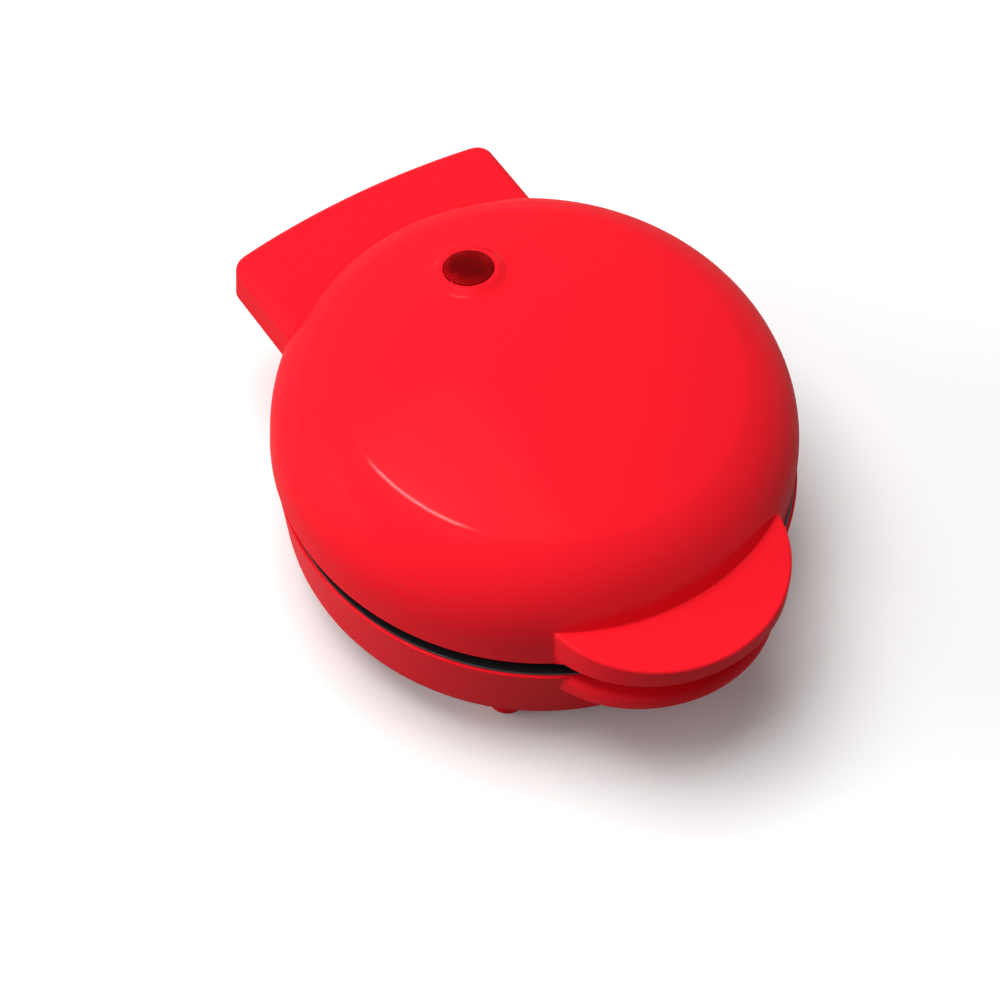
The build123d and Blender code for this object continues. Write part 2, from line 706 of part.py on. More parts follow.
# Lid housing: dome, upper tab, hood over the hinge, two knuckles and the ring round the lens
with BuildPart() as lid_housing:
    revolve(lid_section(0, lid_rim_z), axis=lid_axis)
    fillet(lid_housing.edges().group_by(Axis.Z)[0], radius=rim_round)
    add(upper_tab_rounded.part)
    add(hood.part)
    with BuildSketch(lens_plane.offset(-shell / 2)):
        Circle(lens_ring_radius)
    extrude(amount=shell / 2 + lens_ring_height)
    fillet(facing(lid_housing, lens_plane.z_dir).edges(), radius=lens_ring_round)
    add(hood_hollow.part, mode=Mode.SUBTRACT)
    for side in (-ear_outer - knuckle_gap - knuckle_width, ear_outer + knuckle_gap):
        with BuildSketch(Plane.YZ.offset(side)):
            with BuildLine():
                Polyline((bowl_y + bracket_start, hood_top_z - shell / 2),
                         (bowl_y + bracket_start, knuckle_front_z),
                         (pivot_y - knuckle_radius, knuckle_front_z),
                         (pivot_y - knuckle_radius, pivot_z),
                         (pivot_y + knuckle_radius, pivot_z),
                         (pivot_y + knuckle_radius, hood_top_z - shell / 2), close=True)
            make_face()
            with Locations((pivot_y, pivot_z)):
                Circle(knuckle_radius)
        extrude(amount=knuckle_width)
    add(lid_hollow.part, mode=Mode.SUBTRACT)
    add(upper_tab_core.part, mode=Mode.SUBTRACT)
    with BuildSketch(Plane.YZ):
        with Locations((pivot_y, pivot_z)):
            Circle(pin_radius + pin_running_gap)
    extrude(amount=hood_half_width - shell, both=True, mode=Mode.SUBTRACT)
    with BuildSketch(Plane.XZ.offset(-pivot_y)):
        with Locations((loom_offset, loom_lid_z)):
            Circle(loom_radius + loom_hole_gap)
    extrude(amount=pivot_back - lid_loom_back + loom_radius, mode=Mode.SUBTRACT)
    with BuildSketch(lens_plane.offset(lens_ring_height)):
        Circle(lens_radius + lens_gap)
    extrude(amount=-lens_edge, mode=Mode.SUBTRACT)
    with BuildSketch(lens_plane.offset(lens_ring_height)):
        Circle(lens_stem_radius + lens_gap)
    extrude(amount=-lens_stem, mode=Mode.SUBTRACT)
    with BuildSketch(Plane.XY.offset(lid_face_z + bezel_post_end)):
        with Locations(*[(x, y + bowl_y) for x, y in post_places(lid_setback)]):
            Circle(large_screw[0] + thread_gap)
    extrude(amount=lid_screw_length - bezel_post_end + bezel_seat + shell / 2, mode=Mode.SUBTRACT)

# Bezels
base_bezel = bezel(base_face, bowl_radius - shell - bezel_gap,
                   bowl_radius - shell - skirt_gap - bowl_lean * skirt_depth, 0)
lid_bezel = bezel(lid_face, lid_radius - shell + bezel_under_lid,
                  lid_radius - shell - skirt_gap, lid_setback)

# The lid's bezel takes the housing screws from its face
with BuildPart() as lid_bezel_drilled:
    add(lid_bezel.part)
    with BuildSketch(lid_face):
        with Locations(*post_places(lid_setback)):
            Circle(large_screw[1] + head_gap)
    extrude(amount=-bezel_seat, mode=Mode.SUBTRACT)
    with BuildSketch(lid_face):
        with Locations(*post_places(lid_setback)):
            Circle(large_screw[0] + pass_gap)
    extrude(amount=-bezel_post_end, mode=Mode.SUBTRACT)

# The base's bezel is drilled from below
with BuildPart() as base_bezel_drilled:
    add(base_bezel.part)
    with BuildSketch(base_face.offset(-bezel_post_end)):
        with Locations(*post_places(0)):
            Circle(large_screw[0] + thread_gap)
    extrude(amount=bezel_post_length + bezel_lip / 2, mode=Mode.SUBTRACT)

# Screws
base_well = Plane(origin=(0, bowl_y, well_top_z), z_dir=(0, 0, -1), x_dir=(1, 0, 0))
well_places = [(x, -y) for x, y in post_places(0)]
base_housing_screws = screws(base_well, well_places, large_screw, base_screw_length)
lid_housing_screws = screws(lid_face.offset(-bezel_seat), post_places(lid_setback), large_screw,
                            lid_screw_length)
clip_places = ring_places(clip_circle, (0, 90, 180, 270))
boss_places = ring_places(plate_boss_circle, (45, 135, 225, 315))
pad_places = [(-pad_place, 0), (pad_place, 0)]


def back_seat(face, depth):
    """The plane behind a plate at the given depth, looking away from the plate."""
    return Plane(origin=face.origin - face.z_dir * depth, x_dir=face.x_dir, z_dir=-face.z_dir)


def clip_screws(face):
    """The four screws of a plate's clips."""
    seat = back_seat(face, flange_back + clip_thickness + 2 * stack_gap)
    return screws(seat, clip_places, small_screw, clip_thickness + bezel_lip)


def reflector_screws(face):
    """The four screws that hold a reflector to its plate's bosses."""
    seat = back_seat(face, reflector_back + stack_gap)
    return screws(seat, boss_places, large_screw, reflector_screw_length)


# Thermostat on the lid's plate: a metal cap with two ears, and its body with two blades
cap_back = plate_back + stack_gap + thermostat_cap
with BuildPart() as thermostat_cap_piece:
    with BuildSketch(lid_face.offset(-plate_back - stack_gap)):
        Circle(thermostat_radius)
    extrude(amount=-thermostat_cap)
    with BuildSketch(lid_face.offset(-plate_back - pad_height - stack_gap)):
        RectangleRounded(ear_strip[0], ear_strip[1], ear_strip[1] / 3)
    extrude(amount=-ear_strip[2])
    with BuildSketch(lid_face):
        with Locations(*pad_places):
            Circle(small_screw[0] + pass_gap)
    extrude(amount=-cap_back - ear_strip[2], mode=Mode.SUBTRACT)

body_front = plate_back + pad_height + ear_strip[2] + 2 * stack_gap
with BuildPart() as thermostat:
    with BuildSketch(lid_face.offset(-body_front)):
        Circle(thermostat_radius)
    extrude(amount=-thermostat_body)
    fillet(facing(thermostat, -lid_face.z_dir).edges(), radius=rim_round)
    with BuildSketch(lid_face.offset(-body_front - thermostat_body)):
        with Locations((-blade_offset, 0), (blade_offset, 0)):
            Rectangle(blade_size[1], blade_size[0])
    extrude(amount=-blade_size[2])

thermostat_screws = screws(back_seat(lid_face, body_front), pad_places, small_screw,
                           ear_strip[2] + pad_height)

# Thermal fuse on the base's plate, in its sleeve, under a saddle
fuse_depth = plate_back + stack_gap + fuse_radius
fuse_plane = Plane(origin=(0, bowl_y - fuse_length / 2, base_face_z - fuse_depth), z_dir=(0, 1, 0),
                   x_dir=(1, 0, 0))
with BuildPart() as thermal_fuse:
    with BuildSketch(fuse_plane):
        Circle(fuse_core_radius)
    extrude(amount=fuse_length)
with BuildPart() as fuse_sleeve:
    with BuildSketch(fuse_plane):
        Circle(fuse_radius)
        Circle(fuse_core_radius + stack_gap, mode=Mode.SUBTRACT)
    extrude(amount=fuse_length)
with BuildPart() as fuse_saddle:
    arch = fuse_radius + stack_gap
    strap_plane = Plane(origin=(0, bowl_y - saddle_width / 2, base_face_z - fuse_depth),
                        z_dir=(0, 1, 0), x_dir=(1, 0, 0))
    foot_height = fuse_depth - plate_back - pad_height - stack_gap
    with BuildSketch(strap_plane):
        Circle(arch + saddle_thickness)
        with Locations((0, -foot_height)):
            Rectangle(ear_strip[0], saddle_thickness, align=(Align.CENTER, Align.MIN))
        Circle(arch, mode=Mode.SUBTRACT)
        with Locations((0, -foot_height)):
            Rectangle(ear_strip[0], 2 * arch, align=(Align.CENTER, Align.MAX), mode=Mode.SUBTRACT)
    extrude(amount=saddle_width)
    with BuildSketch(base_face):
        with Locations(*pad_places):
            Circle(small_screw[0] + pass_gap)
    extrude(amount=-fuse_depth - arch, mode=Mode.SUBTRACT)

saddle_back = plate_back + pad_height + saddle_thickness + 2 * stack_gap
fuse_screws = screws(back_seat(base_face, saddle_back), pad_places, small_screw,
                     saddle_thickness + pad_height)


def sleeved_lead(radius, bend, *route):
    """A round lead along straight runs joined by arcs, with flat ends."""
    with BuildPart() as lead:
        with BuildLine() as path:
            FilletPolyline(*route, radius=bend)
        with BuildSketch(Plane(origin=path.line @ 0, z_dir=path.line % 0)):
            Circle(radius)
        sweep()
    return lead


# The leads that cross the hinge meet face to face on its axis, in the middle of the object
base_loom = sleeved_lead(
    loom_radius, loom_bend,
    (-loom_face_gap, pivot_y, pivot_z),
    (-loom_offset, pivot_y, pivot_z),
    (-loom_offset, bowl_y + base_loom_back, base_loom_z),
    (-loom_offset, bowl_y + base_loom_back, base_loom_low_z),
    (-loom_offset, bowl_y + base_loom_end, base_loom_low_z))
lid_loom = sleeved_lead(
    loom_radius, loom_bend,
    (loom_face_gap, pivot_y, pivot_z),
    (loom_offset, pivot_y, pivot_z),
    (loom_offset, pivot_y, loom_lid_z),
    (loom_offset, bowl_y + lid_loom_back, loom_lid_z),
    (loom_offset, bowl_y + lid_loom_rise_back, lid_loom_top_z),
    (loom_offset, bowl_y + lid_loom_end, lid_loom_top_z))

# Single leads from the element pins to the terminal block and to the thermostat's blades
pin_x, pin_y = leg_places()[1]
lead_start = bowl_y + pin_y + element_pin_radius + lead_gap
block_front = bowl_y + block_back - block_size[1] / 2
block_low_z = bracket_low_z + shell + block_lift
block_top_z = block_low_z + block_size[2]
block_bore_z = block_low_z + block_bore_height
near_pole = block_offset - block_pole_pitch / 2
far_pole = block_offset + block_pole_pitch / 2
with BuildPart() as base_leads:
    add(sleeved_lead(lead_radius, lead_bend,
                     (pin_x, lead_start, base_lead_z),
                     (pin_x, bowl_y + lead_turn, base_lead_z),
                     (far_pole, bowl_y + lead_turn + lead_run, block_bore_z),
                     (far_pole, block_front + lead_in_block, block_bore_z)).part)
    add(sleeved_lead(lead_radius, lead_bend,
                     (-pin_x, lead_start, base_lead_z),
                     (-pin_x, bowl_y + lead_turn, base_lead_z),
                     (near_pole, bowl_y + lead_turn + 2 * lead_run, block_bore_z),
                     (near_pole, block_front + lead_in_block, block_bore_z)).part)
lid_lead_start = bowl_y + pin_y - element_pin_radius - lead_gap
with BuildPart() as lid_leads:
    for way in (-1, 1):
        add(sleeved_lead(lead_radius, lead_bend,
                         (way * pin_x, lid_lead_start, lid_lead_z),
                         (way * pin_x, lid_lead_start - lid_lead_run, lid_lead_z),
                         (way * blade_offset, lid_lead_start - 2 * lid_lead_run, lid_lead_z),
                         (way * blade_offset, bowl_y + blade_size[0] / 2 + lead_gap, lid_lead_z)).part)

# Terminal block in the hinge bracket, with its screws sunk in its top
block_middle = (block_offset, bowl_y + block_back)
with BuildPart() as terminal_block:
    with BuildSketch(Plane.XY.offset(block_low_z)):
        with Locations(block_middle):
            Rectangle(block_size[0], block_size[1])
    extrude(amount=block_size[2])
    chamfer(terminal_block.edges().group_by(Axis.Z)[-1], length=rim_round / 2)
    with BuildSketch(Plane.XZ.offset(-block_front)):
        with Locations((near_pole, block_bore_z), (far_pole, block_bore_z)):
            Circle(block_bore_radius)
    extrude(amount=-block_size[1], mode=Mode.SUBTRACT)
    with BuildSketch(Plane.XY.offset(block_top_z)):
        with Locations(block_middle):
            with GridLocations(block_pole_pitch, block_size[1] / 2, 2, 2):
                Circle(small_screw[0] + thread_gap)
    extrude(amount=block_bore_z - block_top_z, mode=Mode.SUBTRACT)
with BuildPart() as terminal_screws:
    with BuildSketch(Plane.XY.offset(block_top_z)):
        with Locations(block_middle):
            with GridLocations(block_pole_pitch, block_size[1] / 2, 2, 2):
                Circle(small_screw[0])
                Rectangle(2 * small_screw[0], recess_width / 2, mode=Mode.SUBTRACT)
    extrude(amount=-recess_depth)
    with BuildSketch(Plane.XY.offset(block_top_z - recess_depth)):
        with Locations(block_middle):
            with GridLocations(block_pole_pitch, block_size[1] / 2, 2, 2):
                Circle(small_screw[0])
    extrude(amount=block_bore_z + lead_radius + lead_gap - block_top_z + recess_depth)

# Indicator lens: a crowned disc with its seat and its hollow stem
lens_seat = lens_ring_height - lens_edge + stack_gap
lens_rim = lens_ring_height - stack_gap
with BuildPart() as indicator_lens:
    with BuildSketch(upright(lens_plane)):
        with BuildLine():
            Polyline((0, lens_rim + lens_crown), (0, lens_seat), (lens_stem_bore, lens_seat),
                     (lens_stem_bore, -lens_stem), (lens_stem_radius, -lens_stem),
                     (lens_stem_radius, lens_seat), (lens_radius, lens_seat), (lens_radius, lens_rim))
            TangentArc((0, lens_rim + lens_crown), (lens_radius, lens_rim), tangent=(1, 0))
        make_face()
    revolve(axis=Axis(lens_plane.origin, lens_plane.z_dir))
with BuildPart() as lens_nut:
    with BuildSketch(lens_plane.offset(-lens_nut_drop)):
        Circle(lens_nut_radius)
        Circle(lens_stem_radius + stack_gap, mode=Mode.SUBTRACT)
    extrude(amount=lens_nut_thickness)
with BuildPart() as neon_lamp:
    with BuildSketch(lens_plane.offset(-lens_stem)):
        Circle(lamp_radius)
    extrude(amount=lamp_length)
    fillet(facing(neon_lamp, lens_plane.z_dir).edges(), radius=lamp_round)
with BuildPart() as lamp_holder:
    with BuildSketch(lens_plane.offset(-lens_stem - stack_gap)):
        Circle(holder_radius)
        with Locations((-lamp_radius / 2, 0), (lamp_radius / 2, 0)):
            Circle(lamp_radius / 4, mode=Mode.SUBTRACT)
    extrude(amount=-holder_length)
resistor_start = lens_plane.from_local_coords(
    (-resistor_length / 2, -resistor_offset, -lens_stem - holder_length / 2))
with BuildPart() as lamp_resistor:
    with BuildSketch(Plane(origin=resistor_start, z_dir=(1, 0, 0), x_dir=(0, 1, 0))):
        Circle(resistor_radius)
    extrude(amount=resistor_length)
    fillet(lamp_resistor.edges(), radius=resistor_radius / 3)

# Hinge pins, headed outside the lid's knuckles
pin_seat = ear_outer + knuckle_gap + knuckle_width + stack_gap
with BuildPart() as hinge_pin_right:
    with BuildSketch(Plane.YZ.offset(pin_seat)):
        with Locations((pivot_y, pivot_z)):
            Circle(pin_head_radius)
    extrude(amount=pin_head)
    fillet(hinge_pin_right.edges().group_by(Axis.X)[-1], radius=pin_head / 3)
    with BuildSketch(Plane.YZ.offset(pin_seat)):
        with Locations((pivot_y, pivot_z)):
            Circle(pin_radius)
    extrude(amount=ear_inner + pin_reach - pin_seat)
with BuildPart() as hinge_pin_left:
    mirror(hinge_pin_right.part, about=Plane.YZ)

# Cord gland: a bush held by a flange each side of the bracket's back wall
gland_plane = Plane(origin=(0, bowl_y + bracket_back, gland_z), z_dir=(0, 1, 0), x_dir=(1, 0, 0))
with BuildPart() as cord_gland:
    with BuildSketch(upright(gland_plane)):
        Polygon((gland_bore_radius, -shell - gland_fit - gland_flange),
                (gland_inner_radius, -shell - gland_fit - gland_flange),
                (gland_inner_radius, -shell - gland_fit), (gland_neck_radius, -shell - gland_fit),
                (gland_neck_radius, gland_fit), (gland_radius, gland_fit),
                (gland_radius, gland_collar), (gland_nose_radius, gland_reach),
                (gland_bore_radius, gland_reach), align=None)
    revolve(axis=Axis(gland_plane.origin, gland_plane.z_dir))
    fillet(cord_gland.faces().sort_by(Axis.Y)[-1].edges(), radius=gland_round)

pieces = {
    "base_housing": base_housing,
    "base_bezel": base_bezel_drilled,
    "base_plate": cooking_plate(base_face),
    "base_element": element(base_face),
    "base_reflector": reflector(base_face),
    "base_plate_clips": clips(base_face),
    "base_clip_screws": clip_screws(base_face),
    "base_reflector_screws": reflector_screws(base_face),
    "base_housing_screws": base_housing_screws,
    "thermal_fuse": thermal_fuse,
    "fuse_sleeve": fuse_sleeve,
    "fuse_saddle": fuse_saddle,
    "fuse_screws": fuse_screws,
    "terminal_block": terminal_block,
    "terminal_screws": terminal_screws,
    "base_leads": base_leads,
    "base_loom": base_loom,
    "cord_gland": cord_gland,
    "hinge_pin_left": hinge_pin_left,
    "hinge_pin_right": hinge_pin_right,
    "lid_housing": lid_housing,
    "lid_bezel": lid_bezel_drilled,
    "lid_plate": cooking_plate(lid_face),
    "lid_element": element(lid_face),
    "lid_reflector": reflector(lid_face),
    "lid_plate_clips": clips(lid_face),
    "lid_clip_screws": clip_screws(lid_face),
    "lid_reflector_screws": reflector_screws(lid_face),
    "lid_housing_screws": lid_housing_screws,
    "thermostat_cap": thermostat_cap_piece,
    "thermostat": thermostat,
    "thermostat_screws": thermostat_screws,
    "lid_leads": lid_leads,
    "lid_loom": lid_loom,
    "indicator_lens": indicator_lens,
    "lens_nut": lens_nut,
    "neon_lamp": neon_lamp,
    "lamp_holder": lamp_holder,
    "lamp_resistor": lamp_resistor,
}

# Foot pads, pressed into the four foot bosses
for name, x, y in (("front_left", -foot_x, -foot_y), ("front_right", foot_x, -foot_y),
                   ("back_left", -foot_x, foot_y), ("back_right", foot_x, foot_y)):
    with BuildPart() as foot_pad:
        with BuildSketch(Plane(origin=(x, bowl_y + y, 0))):
            Circle(pad_foot_radius)
        extrude(amount=pad_foot_length)
        fillet(foot_pad.edges().group_by(Axis.Z)[0], radius=pad_foot_round)
    pieces[f"foot_pad_{name}"] = foot_pad

os.makedirs("parts", exist_ok=True)
for name, piece in pieces.items():
    piece.part.label = name
    export_step(piece.part, f"parts/{name}.step")
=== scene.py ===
"""Looks of a small round waffle maker: two red moulded housings, black rings, coated grid plates.

Lengths in the classes are millimetres in the object's frame: X its width, -Y its front, Z up.
"""

import logging
from collections.abc import Callable, Iterator, Sequence
from contextlib import contextmanager
from dataclasses import dataclass, field
from enum import Enum
from math import asin, atan2, cos, hypot, pi, radians, sin, sqrt, tan

import bmesh
import bpy
from mathutils import Matrix, Vector


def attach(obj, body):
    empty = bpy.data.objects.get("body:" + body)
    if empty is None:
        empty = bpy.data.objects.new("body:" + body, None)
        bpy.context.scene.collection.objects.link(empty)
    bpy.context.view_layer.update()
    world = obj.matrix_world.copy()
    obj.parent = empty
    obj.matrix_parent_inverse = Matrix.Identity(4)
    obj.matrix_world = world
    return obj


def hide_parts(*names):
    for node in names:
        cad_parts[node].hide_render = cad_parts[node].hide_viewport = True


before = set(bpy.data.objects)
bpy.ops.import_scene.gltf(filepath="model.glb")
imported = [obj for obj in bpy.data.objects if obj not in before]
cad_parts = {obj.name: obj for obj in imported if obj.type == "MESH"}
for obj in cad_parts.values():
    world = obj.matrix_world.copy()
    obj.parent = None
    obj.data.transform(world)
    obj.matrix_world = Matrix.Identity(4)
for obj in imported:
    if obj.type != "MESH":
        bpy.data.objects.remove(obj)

log = logging.getLogger("waffle_maker")
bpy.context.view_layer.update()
MM = 0.001
# The upright axes of the bowl with both plates, and of the lid
BOWL_Y = -4.65
LID_Y = -2.65
BASE_AXIS = (0.0, BOWL_Y)
LID_AXIS = (0.0, LID_Y)
# The two cooking faces, and the hinge's axis along X
BASE_FACE_Z = 33.3
LID_FACE_Z = 33.8
PIVOT_Y = 67.85
PIVOT_Z = 34.5
# Points round a turned solid: housings and rings, plates, the lens, foot bosses, posts and small bosses
FINE = 192
DISC = 160
SMALL = 96
BOSS = 48
POST = 40
HOLE = 32
# The radius at which a solid is closed over its axis, and the gap at which two points are merged
CORE = 1.0
WELD = 0.002
# How far a point may stand from a plane, in metres, and still count as on it
NEAR = 1e-5

Point = tuple[float, float]
Piece = bpy.types.Object
Tree = bpy.types.NodeTree
Socket = bpy.types.NodeSocket


class Pick(Enum):
    """What edit mode selects."""

    VERTS = "VERT"
    EDGES = "EDGE"


class Join(Enum):
    """How one solid meets another."""

    ADD = "UNION"
    CUT = "DIFFERENCE"
    KEEP = "INTERSECT"


class Role(Enum):
    """What a lamp is there for."""

    LIGHT = "light"
    HIGHLIGHT = "highlight"


class Along(Enum):
    """The axis that an outline is drawn out along."""

    X = "x"
    Z = "z"


def select_only(piece: Piece) -> None:
    """Selects one piece and makes it the active one.

    Args:
        piece: the piece to work on.
    """
    bpy.ops.object.select_all(action="DESELECT")
    piece.select_set(True)
    bpy.context.view_layer.objects.active = piece


@contextmanager
def editing(piece: Piece) -> Iterator[None]:
    """Edit mode on one piece, left again at the end.

    Args:
        piece: the piece to edit.
    """
    select_only(piece)
    bpy.ops.object.mode_set(mode="EDIT")
    try:
        yield
    finally:
        bpy.ops.object.mode_set(mode="OBJECT")


def pick(piece: Piece, kind: Pick, test: Callable[..., bool]) -> int:
    """Selects the parts of a mesh in edit mode that pass a test.

    Args:
        piece: the piece in edit mode.
        kind: vertices or edges.
        test: takes one of them and says whether it is wanted.

    Returns:
        How many were selected.
    """
    bpy.ops.mesh.select_mode(type=kind.value)
    bpy.ops.mesh.select_all(action="DESELECT")
    mesh = bmesh.from_edit_mesh(piece.data)
    found = [item for item in (mesh.verts if kind is Pick.VERTS else mesh.edges) if test(item)]
    for item in found:
        item.select_set(True)
    bmesh.update_edit_mesh(piece.data)
    return len(found)


def settle(piece: Piece) -> Piece:
    """Puts a piece's place and turn into its mesh, so that its object stands at the origin.

    Args:
        piece: the piece.

    Returns:
        The same piece.
    """
    select_only(piece)
    bpy.ops.object.transform_apply(location=True, rotation=True, scale=True)
    return piece


def clean(piece: Piece) -> Piece:
    """Merges doubles and turns every face outwards.

    Args:
        piece: the piece.

    Returns:
        The same piece.
    """
    with editing(piece):
        bpy.ops.mesh.select_all(action="SELECT")
        bpy.ops.mesh.remove_doubles(threshold=WELD * MM)
        bpy.ops.mesh.normals_make_consistent(inside=False)
    return piece


def in_one_plane(edge: bmesh.types.BMEdge) -> bool:
    """Whether an edge lies at one X, as the outline of a solid drawn out along X does."""
    return len({round(v.co.x, 6) for v in edge.verts}) == 1


def bevel(piece: Piece, test: Callable[[bmesh.types.BMEdge], bool], radius: float, steps: int) -> None:
    """Rounds the edges that pass a test.

    Args:
        piece: the piece.
        test: takes an edge and says whether it is rounded.
        radius: in millimetres.
        steps: faces across the rounding.
    """
    with editing(piece):
        if pick(piece, Pick.EDGES, test):
            bpy.ops.mesh.bevel(offset=radius * MM, segments=steps, affect="EDGES", clamp_overlap=True)


def cut_flat(piece: Piece, point: tuple[float, float, float], way: tuple[float, float, float]) -> None:
    """Cuts a solid by a plane and closes it, dropping what lies on the side that way points to.

    Args:
        piece: the piece.
        point: a point on the plane, in millimetres.
        way: the plane's normal.
    """
    with editing(piece):
        bpy.ops.mesh.select_all(action="SELECT")
        bpy.ops.mesh.bisect(plane_co=Vector(point) * MM, plane_no=Vector(way).normalized(), use_fill=True,
                            clear_outer=True)


def turned(name: str, profile: Sequence[Point], centre: Point, steps: int) -> Piece:
    """A turned solid: a circle drawn out ring by ring along its profile.

    Args:
        name: the piece's name.
        profile: radius and height of each ring; the last ring joins the first when they are the same,
            and otherwise both ends are closed flat.
        centre: where its upright axis stands.
        steps: how many points are on each ring.

    Returns:
        The closed solid.
    """
    (radius, height), *rest = profile
    middle = Vector((centre[0], centre[1], 0.0)) * MM
    bpy.ops.object.select_all(action="DESELECT")
    bpy.ops.mesh.primitive_circle_add(vertices=steps, radius=radius * MM,
                                      location=(middle.x, middle.y, height * MM))
    piece = bpy.context.object
    piece.name = name
    ring_closes = profile[0] == profile[-1]
    settle(piece)
    with editing(piece):
        bpy.ops.mesh.select_all(action="SELECT")
        if not ring_closes:
            bpy.ops.mesh.edge_face_add()
            bpy.ops.mesh.select_mode(type="EDGE")
        for next_radius, next_height in rest:
            bpy.ops.mesh.extrude_edges_indiv()
            share = next_radius / radius
            bpy.ops.transform.resize(value=(share, share, 1.0), center_override=middle)
            bpy.ops.transform.translate(value=(0.0, 0.0, (next_height - height) * MM))
            radius, height = next_radius, next_height
        if not ring_closes:
            bpy.ops.mesh.edge_face_add()
    return clean(piece)


def plug(name: str, radius: float, heights: Sequence[float], centre: Point, steps: int) -> Piece:
    """A plain round solid, from its lower to its upper height."""
    low, high = heights
    return turned(name, [(CORE, low), (radius, low), (radius, high), (CORE, high)], centre, steps)


def tube(name: str, radii: Point, heights: Sequence[float], centre: Point, steps: int) -> Piece:
    """A plain tube, with its inner and outer radius and its lower and upper height."""
    (bore, wide), (low, high) = radii, heights
    return turned(name, [(bore, low), (wide, low), (wide, high), (bore, high), (bore, low)], centre, steps)


def drawn_out(name: str, outline: Sequence[Point], low: float, high: float, along: Along = Along.Z) -> Piece:
    """A solid with a flat outline, drawn out from low to high.

    Args:
        name: the piece's name.
        outline: the outline's points, x and y for one drawn out along Z, y and z along X.
        low: where it starts on that axis.
        high: where it ends.
        along: the axis.

    Returns:
        The closed solid.
    """
    bpy.ops.object.select_all(action="DESELECT")
    bpy.ops.mesh.primitive_circle_add(vertices=len(outline), radius=MM, fill_type="NGON")
    piece = bpy.context.object
    piece.name = name
    for vert, (u, v) in zip(piece.data.vertices, outline):
        vert.co = (Vector((u, v, low)) if along is Along.Z else Vector((low, u, v))) * MM
    reach = (high - low) * MM
    with editing(piece):
        bpy.ops.mesh.select_all(action="SELECT")
        bpy.ops.mesh.extrude_region_move(TRANSFORM_OT_translate={
            "value": (0.0, 0.0, reach) if along is Along.Z else (reach, 0.0, 0.0)})
    return clean(piece)


def joined(piece: Piece, others: Sequence[Piece], how: Join) -> Piece:
    """Adds solids to a piece, or cuts them out of it, and removes them.

    Args:
        piece: the piece that stays.
        others: the solids that are used up.
        how: add, cut or keep what both share.

    Returns:
        The same piece.
    """
    for other in others:
        select_only(piece)
        tool = piece.modifiers.new("join", "BOOLEAN")
        tool.operation = how.value
        tool.solver = "EXACT"
        tool.object = other
        bpy.ops.object.modifier_apply(modifier=tool.name)
        bpy.data.objects.remove(other, do_unlink=True)
    return piece


def gathered(name: str, parts: Sequence[Piece]) -> Piece:
    """Makes several solids one piece.

    Args:
        name: the name of what results.
        parts: the solids.

    Returns:
        The one piece.
    """
    bpy.ops.object.select_all(action="DESELECT")
    for part in parts:
        part.select_set(True)
    bpy.context.view_layer.objects.active = parts[0]
    bpy.ops.object.join()
    parts[0].name = name
    return parts[0]


def copied(piece: Piece, shift: tuple[float, float, float]) -> Piece:
    """A copy with its own mesh, moved by a shift in millimetres.

    Args:
        piece: the piece to copy.
        shift: how far the copy is moved.

    Returns:
        The copy.
    """
    twin = piece.copy()
    twin.data = piece.data.copy()
    bpy.context.scene.collection.objects.link(twin)
    twin.data.transform(Matrix.Translation(Vector(shift) * MM))
    return twin


def placed(piece: Piece, matrix: Matrix) -> Piece:
    """Moves a piece's mesh by a matrix in metres.

    Args:
        piece: the piece, built round the origin.
        matrix: where it goes.

    Returns:
        The same piece.
    """
    piece.data.transform(matrix)
    piece.data.update()
    return piece


def stood(place: tuple[float, float, float], tilt: float) -> Matrix:
    """The matrix, in metres, that tilts a piece about X and then moves it to a place in millimetres."""
    return Matrix.Translation(Vector(place) * MM) @ Matrix.Rotation(tilt, 4, "X")


def smooth(piece: Piece, angle: float = 32.0) -> Piece:
    """Shades a piece smooth up to an angle, with flat faces kept flat.

    Args:
        piece: the finished piece.
        angle: the sharpest edge in degrees that is shaded smooth.

    Returns:
        The same piece.
    """
    select_only(piece)
    bpy.ops.object.shade_smooth_by_angle(angle=radians(angle))
    weigh = piece.modifiers.new("even", "WEIGHTED_NORMAL")
    weigh.keep_sharp = True
    weigh.weight = 80
    bpy.ops.object.modifier_apply(modifier=weigh.name)
    return piece


def arc(centre: Point, radius: float, first: float, last: float, steps: int) -> list[Point]:
    """Points on an arc, ends included, angles in degrees from the first axis towards the second."""
    turn = [radians(first + (last - first) * i / steps) for i in range(steps + 1)]
    return [(centre[0] + radius * cos(a), centre[1] + radius * sin(a)) for a in turn]


def pin_hole(radius: float, reach: float) -> Piece:
    """The bore of the hinge pins, out to a reach on both sides."""
    return drawn_out("pin_bore", arc((PIVOT_Y, PIVOT_Z), radius, 0, 345, 23), -reach, reach, Along.X)


